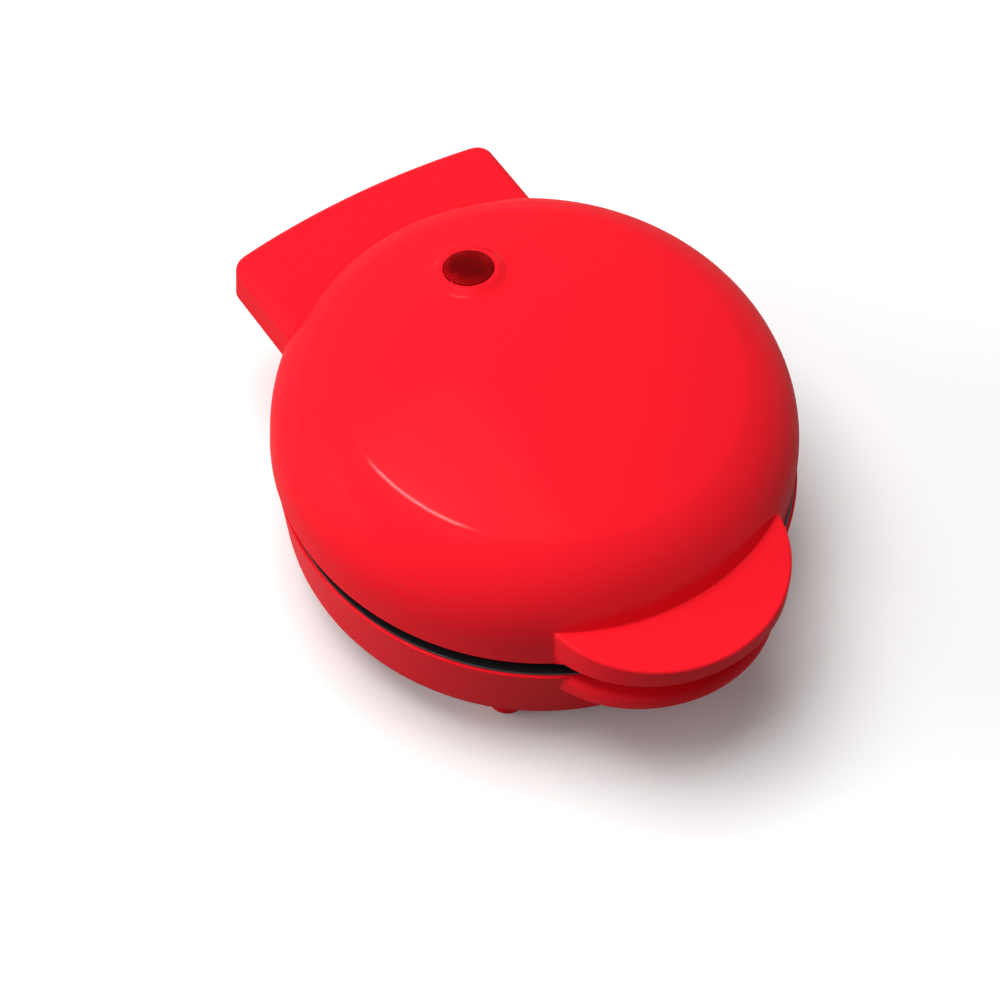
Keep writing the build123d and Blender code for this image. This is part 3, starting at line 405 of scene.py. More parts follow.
def rounded(corners: Sequence[tuple[float, float, float]], steps: int) -> list[Point]:
    """A path of straight runs whose corners are rounded.

    Args:
        corners: each corner's two places and its rounding radius, 0 for a sharp one.
        steps: parts in each rounding.

    Returns:
        The path's points. A path whose last corner is its first stays closed.
    """
    path: list[Point] = []
    closed = corners[0][:2] == corners[-1][:2]
    ring = corners[:-1] if closed else corners
    for i, (u, v, radius) in enumerate(ring):
        if radius <= 0 or (not closed and i in (0, len(ring) - 1)):
            path.append((u, v))
            continue
        here = Vector((u, v))
        before = (Vector(ring[i - 1][:2]) - here).normalized()
        after = (Vector(ring[(i + 1) % len(ring)][:2]) - here).normalized()
        half = before.angle(after) / 2
        middle = here + (before + after).normalized() * (radius / sin(half))
        start = here + before * (radius / tan(half)) - middle
        end = here + after * (radius / tan(half)) - middle
        first = atan2(start.y, start.x)
        swing = (atan2(end.y, end.x) - first + pi) % (2 * pi) - pi
        path += [(middle.x + radius * cos(first + swing * k / steps),
                  middle.y + radius * sin(first + swing * k / steps)) for k in range(steps + 1)]
    if closed:
        path.append(path[0])
    return path


def curve(points: Sequence[Point], steps: int) -> list[Point]:
    """Points along a cubic curve with four control points, its first point left out.

    Args:
        points: the four control points.
        steps: how many parts it has.

    Returns:
        The points.
    """
    out: list[Point] = []
    for k in range(1, steps + 1):
        t = k / steps
        share = ((1 - t) ** 3, 3 * t * (1 - t) ** 2, 3 * t * t * (1 - t), t**3)
        u, v = (sum(w * p[axis] for w, p in zip(share, points)) for axis in (0, 1))
        out.append((u, v))
    return out


def ring_places(radius: float, angles: Sequence[float], centre_y: float) -> list[Point]:
    """Places on a circle about x = 0 and centre_y, at angles in degrees from +X."""
    return [(radius * cos(radians(a)), centre_y + radius * sin(radians(a))) for a in angles]


def wave_scale(pitch: float) -> float:
    """The scale at which a wave pattern along one axis repeats after a pitch in millimetres."""
    return 2 * pi / (20.0 * pitch * MM)


def noise_scale(size: float) -> float:
    """The scale at which a noise pattern's clouds have a size in millimetres."""
    return 1000.0 / size


def linear(code: str) -> tuple[float, float, float, float]:
    """The linear colour, with its alpha, of an sRGB hex code."""
    parts = [int(code[i:i + 2], 16) / 255 for i in (1, 3, 5)]
    return (*(p / 12.92 if p <= 0.04045 else ((p + 0.055) / 1.055) ** 2.4 for p in parts), 1.0)


def add_node(tree: Tree, kind: str, settings: dict[str, object] | None = None,
             links: dict[str | int, Socket] | None = None) -> bpy.types.Node:
    """Adds one node to a node tree.

    Args:
        tree: the node tree.
        kind: the node's type, without the words that every shader node's type starts with.
        settings: attribute names, or input names after a leading dash, with their values.
        links: input names or numbers with the outputs that feed them.

    Returns:
        The node.
    """
    node = tree.nodes.new(f"ShaderNode{kind}")
    for name, value in (settings or {}).items():
        if name.startswith("-"):
            node.inputs[name[1:]].default_value = value
        else:
            setattr(node, name, value)
    for name, output in (links or {}).items():
        tree.links.new(output, node.inputs[name])
    return node


@dataclass(frozen=True)
class Finish:
    """A surface: what it is made of, its colour, and the grain that its making left.

    The grain is a fine relief of a real size, and the shade is a faint change of colour over a larger size.
    The edges look as round as edge_mm, and the coat is the sheen of the outermost skin.
    """

    name: str
    colour: str
    roughness: float
    metallic: float = 0.0
    ior: float = 1.5
    specular: float = 0.5
    grain_mm: float = 0.4
    grain_height_mm: float = 0.01
    shade_mm: float = 25.0
    shade: float = 0.04
    shade_stops: Point = (0.15, 0.85)
    wear_share: float = 0.45
    rough_swing: float = 0.05
    edge_mm: float = 0.0
    coat: float = 0.0
    coat_roughness: float = 0.1
    coat_follows: bool = True
    transmission: float = 0.0
    stretch: tuple[float, float, float] = (1.0, 1.0, 1.0)

    def material(self) -> bpy.types.Material:
        """Makes the material, or finds it where it is made already.

        Returns:
            The material.
        """
        found = bpy.data.materials.get(self.name)
        if found:
            return found
        made = bpy.data.materials.new(self.name)
        made.use_nodes = True
        tree = made.node_tree
        tree.nodes.clear()
        source = add_node(tree, "TexCoord")
        turn = add_node(tree, "Mapping", {"-Scale": self.stretch}, {"Vector": source.outputs["Object"]})
        place = turn.outputs["Vector"]
        relief = self.relief(tree, place)
        links = {"Base Color": self.paint(tree, place), "Roughness": self.polish(tree, place),
                 "Normal": relief}
        if self.coat_follows:
            links["Coat Normal"] = relief
        shader = add_node(tree, "BsdfPrincipled", {
            "-Metallic": self.metallic, "-IOR": self.ior, "-Specular IOR Level": self.specular,
            "-Coat Weight": self.coat, "-Coat Roughness": self.coat_roughness,
            "-Transmission Weight": self.transmission}, links)
        add_node(tree, "OutputMaterial", None, {"Surface": shader.outputs["BSDF"]})
        return made

    def paint(self, tree: Tree, place: Socket) -> Socket:
        """The colour, faintly lighter and darker from place to place.

        Args:
            tree: the material's nodes.
            place: the coordinates.

        Returns:
            The colour's output.
        """
        cloud = add_node(tree, "TexNoise", {
            "-Scale": noise_scale(self.shade_mm), "-Detail": 3.0, "-Roughness": 0.55}, {"Vector": place})
        ramp = add_node(tree, "ValToRGB", None, {"Fac": cloud.outputs["Fac"]})
        ramp.color_ramp.interpolation = "EASE"
        shares = (1 - self.shade, 1 + self.shade)
        for stop, at, share in zip(ramp.color_ramp.elements, self.shade_stops, shares):
            stop.position = at
            stop.color = (*(min(1.0, c * share) for c in linear(self.colour)[:3]), 1.0)
        return ramp.outputs["Color"]

    def polish(self, tree: Tree, place: Socket) -> Socket:
        """The roughness, a little uneven as handling leaves it.

        Args:
            tree: the material's nodes.
            place: the coordinates.

        Returns:
            The roughness's output.
        """
        cloud = add_node(tree, "TexNoise", {
            "-Scale": noise_scale(self.shade_mm * self.wear_share), "-Detail": 4.0}, {"Vector": place})
        span = add_node(tree, "MapRange", {
            "interpolation_type": "SMOOTHSTEP", "-From Min": 0.1, "-From Max": 0.9,
            "-To Min": max(0.02, self.roughness - self.rough_swing),
            "-To Max": min(1.0, self.roughness + self.rough_swing)}, {"Value": cloud.outputs["Fac"]})
        return span.outputs["Result"]

    def relief(self, tree: Tree, place: Socket) -> Socket:
        """The fine relief of the surface, over edges as round as the mould or the tool leaves them.

        Args:
            tree: the material's nodes.
            place: the coordinates.

        Returns:
            The normal's output.
        """
        links = {"Height": self.height(tree, place)}
        if self.edge_mm:
            edge = add_node(tree, "Bevel", {"samples": 6, "-Radius": self.edge_mm * MM})
            links["Normal"] = edge.outputs["Normal"]
        bump = add_node(tree, "Bump", {
            "-Strength": 1.0, "-Distance": self.grain_height_mm * MM}, links)
        return bump.outputs["Normal"]

    def height(self, tree: Tree, place: Socket) -> Socket:
        """The height of the grain, from 0 to 1."""
        grain = add_node(tree, "TexNoise", {
            "-Scale": noise_scale(self.grain_mm), "-Detail": 2.0, "-Roughness": 0.5}, {"Vector": place})
        return grain.outputs["Fac"]


@dataclass(frozen=True)
class RibbedFinish(Finish):
    """A clear dyed disc with fine straight ribs inside, under a smooth surface; its light and shade are
    painted.
    """

    rib_mm: float = 0.55
    grain_height_mm: float = 0.03
    # The deep colour is painted shade: the dark of the middle and between the ribs
    deep: str = "#5C0102"
    rib_stops: Point = (0.02, 0.55)
    centre: tuple[float, float, float] = (0.0, 28.55, 0.0)
    painted_light_from: float = 2.135
    painted_light_to: float = 6.405
    painted_shade_middle_share: float = 0.35

    @property
    def rib_wave(self) -> dict[str, object]:
        """The settings of the wave that draws the ribs along Y."""
        return {"bands_direction": "X", "-Scale": wave_scale(self.rib_mm), "-Distortion": 0.0}

    def paint(self, tree: Tree, place: Socket) -> Socket:
        """Painted shade in the middle and between the ribs, painted light towards the edge, uneven over the
        disc.

        Args:
            tree: the material's nodes.
            place: the coordinates.

        Returns:
            The colour's output.
        """
        ribs = add_node(tree, "TexWave", self.rib_wave, {"Vector": place})
        cloud = add_node(tree, "TexNoise", {
            "-Scale": noise_scale(self.shade_mm), "-Detail": 2.0}, {"Vector": place})
        # Painted light and shade: dark in the middle, brightening towards the edge
        middle = add_node(tree, "Mapping", {
            "-Location": tuple(-v * MM for v in self.centre), "-Scale": (1.0, 1.0, 0.0)}, {"Vector": place})
        away = add_node(tree, "VectorMath", {"operation": "LENGTH"}, {0: middle.outputs["Vector"]})
        rim = add_node(tree, "MapRange", {
            "interpolation_type": "SMOOTHSTEP", "-From Min": self.painted_light_from * MM,
            "-From Max": self.painted_light_to * MM, "-To Min": self.painted_shade_middle_share, "-To Max": 1.0},
            {"Value": away.outputs["Value"]})
        share: Socket = rim.outputs["Result"]
        # Painted shade between the ribs, and a random unevenness over the disc
        for factor in (ribs.outputs["Fac"], cloud.outputs["Fac"]):
            step = add_node(tree, "Math", {"operation": "MULTIPLY"}, {0: share, 1: factor})
            share = step.outputs["Value"]
        ramp = add_node(tree, "ValToRGB", None, {"Fac": share})
        ramp.color_ramp.interpolation = "EASE"
        for stop, at, code in zip(ramp.color_ramp.elements, self.rib_stops, (self.deep, self.colour)):
            stop.position, stop.color = at, linear(code)
        return ramp.outputs["Color"]

    def height(self, tree: Tree, place: Socket) -> Socket:
        """Straight ribs along Y."""
        return add_node(tree, "TexWave", self.rib_wave, {"Vector": place}).outputs["Fac"]


@dataclass(frozen=True)
class BraidFinish(Finish):
    """A braided sleeve: two sets of crossing strands."""

    strand_mm: float = 0.7
    grain_height_mm: float = 0.12

    def height(self, tree: Tree, place: Socket) -> Socket:
        """Crossing strands.

        Args:
            tree: the material's nodes.
            place: the coordinates.

        Returns:
            The height's output.
        """
        back = add_node(tree, "Mapping", {"-Rotation": (0.0, 0.0, radians(90.0))}, {"Vector": place})
        strands = [add_node(tree, "TexWave", {
            "bands_direction": "DIAGONAL", "-Scale": wave_scale(self.strand_mm)}, {"Vector": way})
            for way in (place, back.outputs["Vector"])]
        top = add_node(tree, "Math", {"operation": "MAXIMUM"}, {
            i: strand.outputs["Fac"] for i, strand in enumerate(strands)})
        return top.outputs["Value"]


# Injection-moulded ABS: an even, saturated red with a satin sheen from a finely blasted mould
RED_ABS = Finish("red_moulded_abs", "#FC1A29", 0.40, ior=1.53, specular=0.0, coat=0.10, coat_roughness=0.13,
                 grain_mm=0.45, grain_height_mm=0.0012, shade_mm=45.0, shade=0.02, rough_swing=0.03,
                 edge_mm=0.4)
# Glass-filled polyester for the hot rings: near black, a little duller, with a fine grain
BLACK_PBT = Finish("black_glass_filled_pbt", "#17181B", 0.38, ior=1.57, grain_mm=0.35, grain_height_mm=0.008,
                   shade=0.12, edge_mm=0.3)
# PTFE coat over die-cast aluminium: charcoal, speckled, softly glossy
PTFE_COAT = Finish("ptfe_coat_on_cast_aluminium", "#26262A", 0.34, ior=1.38, grain_mm=0.5,
                   grain_height_mm=0.02, shade_mm=1.2, shade=0.35, rough_swing=0.10, edge_mm=0.3)
# Stainless sheath after a few hot runs: straw-grey metal, drawn along its length
STEEL_SHEATH = Finish("stainless_heater_sheath", "#8D877E", 0.36, metallic=1.0, grain_mm=0.3,
                      grain_height_mm=0.006, shade_mm=14.0, shade=0.18)
# Rolled aluminium sheet: bright, with faint rolling lines along Y
ROLLED_ALUMINIUM = Finish("rolled_aluminium_sheet", "#C9CBCE", 0.26, metallic=1.0, grain_mm=0.5,
                          grain_height_mm=0.008, shade=0.05, stretch=(1.0, 0.05, 1.0))
# Zinc-plated steel: pale blue-grey metal, slightly cloudy
ZINC_STEEL = Finish("zinc_plated_steel", "#B4B7BC", 0.30, metallic=1.0, grain_mm=0.6, grain_height_mm=0.006,
                    shade_mm=4.0, shade=0.10)
# Varnished glass-fibre sleeving: cream braid
GLASS_BRAID = BraidFinish("varnished_glass_fibre_braid", "#DAD3BC", 0.55, shade_mm=3.0, shade=0.08)
# Moulded nylon: off white, waxy
NYLON = Finish("moulded_nylon", "#E4E1D6", 0.42, ior=1.53, grain_height_mm=0.004, shade=0.03, edge_mm=0.15)
# Silicone sheathing: soft, dry sheen
WHITE_SILICONE = Finish("white_silicone_lead", "#DEDEDA", 0.50, ior=1.41, grain_mm=0.8, shade=0.03)
BLACK_SILICONE = BraidFinish("black_silicone_braided_sleeve", "#1B1B1C", 0.55, ior=1.41)
# Moulded rubber: matt, slightly dusty
BLACK_RUBBER = Finish("black_moulded_rubber", "#161616", 0.62, ior=1.52, grain_mm=0.5, grain_height_mm=0.02,
                      shade=0.10, edge_mm=0.2)
GREY_RUBBER = Finish("grey_moulded_rubber", "#3A3A3B", 0.66, ior=1.52, grain_mm=0.5, grain_height_mm=0.02,
                     shade=0.10, edge_mm=0.2)
# Phenolic moulding: dark brown, hard and slightly mottled
PHENOLIC = Finish("brown_phenolic_moulding", "#2E1D15", 0.40, ior=1.6, shade_mm=3.0, shade=0.15, edge_mm=0.15)
# Dyed polycarbonate: clear dark red with diffusing ribs, the lamp's light through it painted into its colour
RED_POLYCARBONATE = RibbedFinish("dyed_red_polycarbonate", "#C4060F", 0.20, ior=1.585, specular=0.0,
                                 coat=0.05, coat_roughness=0.05, coat_follows=False, shade_mm=5.0)
# Soda-lime glass of the lamp
LAMP_GLASS = Finish("soda_lime_lamp_glass", "#F3ECE4", 0.05, ior=1.52, transmission=1.0,
                    grain_height_mm=0.001, shade=0.01, rough_swing=0.02)
# Lacquered ceramic: tan, semi-gloss
RESISTOR_LACQUER = Finish("tan_resistor_lacquer", "#B89B72", 0.35, shade_mm=2.0, shade=0.08)


def dress(piece: Piece, finish: Finish, body: str, node: str) -> None:
    """Gives a new piece its finish, body and material slot, and hides the CAD node that it stands for.

    Args:
        piece: the finished mesh.
        finish: its surface.
        body: the CAD body that it moves with.
        node: the CAD node that it stands for.
    """
    piece.data.materials.clear()
    piece.data.materials.append(finish.material())
    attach(piece, body)
    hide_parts(node)
    log.info("%s stands for %s", piece.name, node)


@dataclass
class ScrewPosts:
    """The places of the four housing screws in each half, and the wells that their heads lie in."""

    circle: float = 56.0
    angles: tuple[float, ...] = (25.0, 155.0, 205.0, 335.0)
    well: float = 3.2

    def places(self, centre_y: float) -> list[Point]:
        """The screws' places about a centre at x = 0 and the given y."""
        return ring_places(self.circle, self.angles, centre_y)


@dataclass
class FingerTab:
    """A finger tab: half an ellipse in plan, cut by a sloping top and underside, with rounded edges."""

    name: str
    half_width: float
    half_length: float
    reach: float
    inner: float
    top: tuple[Point, Point]
    under: tuple[Point, Point]
    rounding: float
    blank_top: float = 60.0
    root: float = 2.0
    steps: int = 72

    def outline(self, inset: float = 0.0) -> list[Point]:
        """The tab's plan, moved in by inset.

        Args:
            inset: in millimetres.

        Returns:
            Its points.
        """
        middle = BOWL_Y - self.reach + self.half_length
        wide, deep = self.half_width - inset, self.half_length - inset
        front = [(u * wide, middle + v * deep) for u, v in arc((0, 0), 1, 180, 360, self.steps)]
        back = BOWL_Y - self.inner + self.root
        return front + [(wide, back), (-wide, back)]

    def solid(self) -> Piece:
        """Builds the tab.

        Returns:
            The closed solid, whose back lies inside the housing.
        """
        piece = drawn_out(self.name, self.outline(), 0.0, self.blank_top)
        for (y0, z0), (y1, z1), up in ((*self.top, 1.0), (*self.under, -1.0)):
            run, rise = y1 - y0, z1 - z0
            sign = -up if run < 0 else up
            cut_flat(piece, (0.0, y0, z0), (0.0, -rise * sign, run * sign))
        cut_flat(piece, (0.0, BOWL_Y - self.inner, 0.0), (0.0, 1.0, 0.0))
        back = (BOWL_Y - self.inner) * MM - NEAR

        def outer(edge: bmesh.types.BMEdge) -> bool:
            """Whether an edge lies on the tab's outline and not on its flat back."""
            flat = sum(abs(f.normal.x) + abs(f.normal.y) < 0.6 for f in edge.link_faces)
            return flat == 1 and any(v.co.y < back for v in edge.verts)

        bevel(piece, outer, self.rounding, 6)
        return clean(piece)


@dataclass
class LidShell:
    """The lid's red moulding: dome, rounded shoulder, finger tab, hood over the hinge and lens ring."""

    radius: float = 63.5
    rim_z: float = 36.2
    rim_round: float = 0.8
    side_top_z: float = 41.9
    shoulder: Point = (48.5, 65.0)
    shoulder_slope: float = 21.0
    fullness: float = 0.56
    crease: float = 13.0
    crease_pull: float = 0.4
    shoulder_steps: int = 26
    crease_steps: int = 5
    dome_steps: int = 14
    top_z: float = 71.5
    wall: float = 2.4
    tab: FingerTab = field(default_factory=lambda: FingerTab(
        "lid_tab", half_width=32.6, half_length=30.4, reach=77.9, inner=48.0,
        top=((-52.65, 48.9), (-82.55, 47.6)), under=((-52.65, 38.6), (-82.55, 42.0)), rounding=0.8))
    gusset: tuple[Point, Point] = ((63.2, 36.4), (67.0, 41.2))
    hood_half_width: float = 37.5
    hood_back: float = 83.5
    hood_corner_back: float = 80.3
    hood_top_z: float = 47.4
    hood_corner: float = 4.5
    hood_round: float = 3.2
    hood_start: float = 30.0
    hood_steps: int = 14
    knuckle_x: Point = (27.4, 31.4)
    knuckle_radius: float = 4.8
    knuckle_front: float = BOWL_Y + 46.0
    knuckle_foot_z: float = 37.0
    knuckle_round: float = 0.4
    pin_bore: float = 1.56
    pin_reach: float = 34.0
    lens_offset: float = 33.2
    ring_top_radius: float = 7.3
    ring_radius: float = 9.0
    ring_flare: float = 2.2
    ring_height: float = 1.2
    ring_rounds: Point = (1.6, 0.7)
    ring_root: float = 2.0
    lens_radius: float = 6.1
    lens_edge: float = 1.6
    lens_play: float = 0.12
    stem_radius: float = 4.6
    seat_reach: Point = (-9.0, 3.0)
    posts: ScrewPosts = field(default_factory=ScrewPosts)
    post_radii: Point = (1.6, 3.6)
    post_z: Point = (42.6, 62.0)

    @property
    def dome_radius(self) -> float:
        """The radius of the shallow dome."""
        rise = self.top_z - self.shoulder[1]
        return (self.shoulder[0] ** 2 + rise**2) / (2 * rise)

    def lens_place(self) -> Matrix:
        """Where the lens stands: its own Z is the dome's normal.

        Returns:
            The matrix, in metres.
        """
        tilt = asin((self.lens_offset + BOWL_Y - LID_Y) / self.dome_radius)
        z = self.top_z - self.dome_radius + self.dome_radius * cos(tilt)
        return stood((0.0, BOWL_Y + self.lens_offset, z), -tilt)

    def profile(self, inset: float, low: float) -> list[Point]:
        """The dome's section from its rim up to its top.

        Args:
            inset: how far it lies inside the outer surface.
            low: the height where it starts.

        Returns:
            Radius and height of each ring.
        """
        dome = self.dome_radius - inset
        centre_z = self.top_z - self.dome_radius
        side = self.radius - inset
        slope, tilt = asin(self.shoulder[0] / self.dome_radius), radians(self.shoulder_slope)
        edge = (dome * sin(slope), centre_z + dome * cos(slope))
        rise = self.fullness * (edge[1] - self.side_top_z)
        run = self.fullness * (side - edge[0])
        sides = [(side, low + (self.side_top_z - low) * k / 3) for k in range(4)]
        shoulder = curve([(side, self.side_top_z), (side, self.side_top_z + rise),
                          (edge[0] + run * cos(tilt), edge[1] - run * sin(tilt)), edge],
                         self.shoulder_steps)
        turns = [slope * k / self.dome_steps for k in range(self.dome_steps - 1, 0, -1)]
        top = [(dome * sin(turn), centre_z + dome * cos(turn)) for turn in turns]
        bend = self.crease * tan((tilt - slope) / 2)
        pull = bend * self.crease_pull
        before = (edge[0] + bend * cos(tilt), edge[1] - bend * sin(tilt))
        after = (edge[0] - bend * cos(slope), edge[1] + bend * sin(slope))
        soft = curve([before, (edge[0] + pull, edge[1] - pull * tan(tilt)),
                      (edge[0] - pull, edge[1] + pull * tan(slope)), after], self.crease_steps)
        kept = [p for p in shoulder if p[0] > before[0] + 0.1]
        rest = [p for p in top if p[0] < after[0] - 0.1]
        return sides + kept + [before] + soft + rest + [(CORE, self.top_z - inset)]

    def outer(self) -> Piece:
        """The dome as a full solid, with its rim rounded.

        Returns:
            The solid.
        """
        start = self.rim_z + self.rim_round
        rim = arc((self.radius - self.rim_round, start), self.rim_round, 270, 350, 4)
        return turned("lid_shell", [(CORE, self.rim_z)] + rim + self.profile(0.0, start), LID_AXIS, FINE)

    def tab_gusset(self) -> Piece:
        """The sloping root under the tab, which follows the lid's wall.

        Returns:
            The solid.
        """
        (foot, low), (reach, high) = self.gusset
        inner = self.tab.inner + 6.0
        ring = turned("gusset", [(inner, low), (foot, low), (reach, high), (inner, high), (inner, low)],
                      LID_AXIS, FINE)
        plan = drawn_out("plan", self.tab.outline(0.4), low - 2.0, high + 2.0)
        return joined(ring, [plan], Join.KEEP)

    def hood_outline(self, inset: float) -> list[Point]:
        """The hood's plan, moved in by inset.

        Args:
            inset: in millimetres.

        Returns:
            Its points.
        """
        side = self.hood_half_width - inset
        back, corner = self.hood_back - inset, self.hood_corner_back - inset
        bulge = back - corner
        radius = (side**2 + bulge**2) / (2 * bulge)
        centre, start = BOWL_Y + back - radius, BOWL_Y + self.hood_start
        reach = asin(side / radius)
        turns = [reach * k / self.hood_steps for k in range(-self.hood_steps, self.hood_steps + 1)]
        line = [(radius * sin(turn), centre + radius * cos(turn)) for turn in turns]
        rounding = self.hood_corner - inset
        bow = [(u, v, 0.0) for u, v in line if abs(u) < side - rounding * 1.25]
        return rounded([(-side, start, 0.0), (*line[0], rounding), *bow, (*line[-1], rounding),
                        (side, start, 0.0)], 6)

    def hood(self) -> Piece:
        """The block over the hinge, its top edge well rounded.

        Returns:
            The solid.
        """
        piece = drawn_out("hood", self.hood_outline(0.0), self.rim_z, self.hood_top_z)
        top = self.hood_top_z * MM - NEAR
        front = (BOWL_Y + self.hood_start) * MM + NEAR
        bevel(piece, lambda e: all(v.co.z > top for v in e.verts) and any(v.co.y > front for v in e.verts),
              self.hood_round, 8)
        return clean(piece)

    def hood_hollow(self) -> Piece:
        """The space under the hood, outside the dome."""
        piece = drawn_out("hood_hollow", self.hood_outline(self.wall), self.rim_z - 1,
                          self.hood_top_z - self.wall)
        return joined(piece, [plug("drum", self.radius, (20.0, 60.0), LID_AXIS, FINE)], Join.CUT)

    def knuckle(self, way: float) -> Piece:
        """One of the two lugs that the hinge pins run in.

        Args:
            way: 1 for the right one, -1 for the left.

        Returns:
            The solid.
        """
        low, high = sorted((way * self.knuckle_x[0], way * self.knuckle_x[1]))
        reach, front, top = self.knuckle_radius, self.knuckle_front, self.hood_top_z - self.wall / 2
        side = [(front, self.knuckle_foot_z), (PIVOT_Y - reach, self.knuckle_foot_z)]
        side += arc((PIVOT_Y, PIVOT_Z), reach, 180, 360, 24)
        piece = drawn_out("knuckle", side + [(PIVOT_Y + reach, top), (front, top)], low, high, Along.X)
        limit = (PIVOT_Z + 1) * MM
        bevel(piece, lambda e: all(v.co.z < limit for v in e.verts) and in_one_plane(e),
              self.knuckle_round, 2)
        return clean(piece)

    def lens_ring(self) -> Piece:
        """The raised ring round the lens, flared where it grows out of the dome.

        Returns:
            The solid.
        """
        foot, high = self.ring_radius + self.ring_flare, self.ring_height
        below, above = self.ring_rounds
        side = [(foot, -0.45, 0.0), (self.ring_radius, 0.1, below), (self.ring_top_radius, high, above),
                (CORE, high, 0.0)]
        profile = [(CORE, -self.ring_root), (foot, -self.ring_root)] + rounded(side, 8)
        return placed(turned("lens_ring", profile, (0.0, 0.0), SMALL), self.lens_place())

    def lens_seat(self) -> Piece:
        """The stepped bore that takes the lens and its stem.

        Returns:
            The solid.
        """
        stem, disc = self.stem_radius + self.lens_play, self.lens_radius + self.lens_play
        step, (low, high) = self.ring_height - self.lens_edge, self.seat_reach
        profile = [(CORE, low), (stem, low), (stem, step), (disc, step), (disc, high), (CORE, high)]
        return placed(turned("lens_seat", profile, (0.0, 0.0), SMALL), self.lens_place())

    def build(self) -> None:
        """Builds the whole moulding."""
        shell = joined(self.outer(), [self.tab.solid(), self.tab_gusset(), self.hood(), self.lens_ring()],
                       Join.ADD)
        joined(shell, [self.hood_hollow()], Join.CUT)
        joined(shell, [self.knuckle(1.0), self.knuckle(-1.0)], Join.ADD)
        low = self.rim_z - 2.0
        hollow = turned("hollow", [(CORE, low)] + self.profile(self.wall, low), LID_AXIS, FINE)
        joined(shell, [hollow], Join.CUT)
        joined(shell, [pin_hole(self.pin_bore, self.pin_reach), self.lens_seat()], Join.CUT)
        posts = [tube("post", self.post_radii, self.post_z, place, POST)
                 for place in self.posts.places(LID_Y)]
        roof = turned("roof", [(CORE, 40.0)] + self.profile(self.wall * 0.5, 40.0), LID_AXIS, SMALL)
        fitted = [joined(post, [copied(roof, (0, 0, 0))], Join.KEEP) for post in posts]
        shell = gathered("lid_moulding", [shell, *fitted])
        bpy.data.objects.remove(roof, do_unlink=True)
        dress(smooth(clean(shell)), RED_ABS, "lid", "lid_housing")


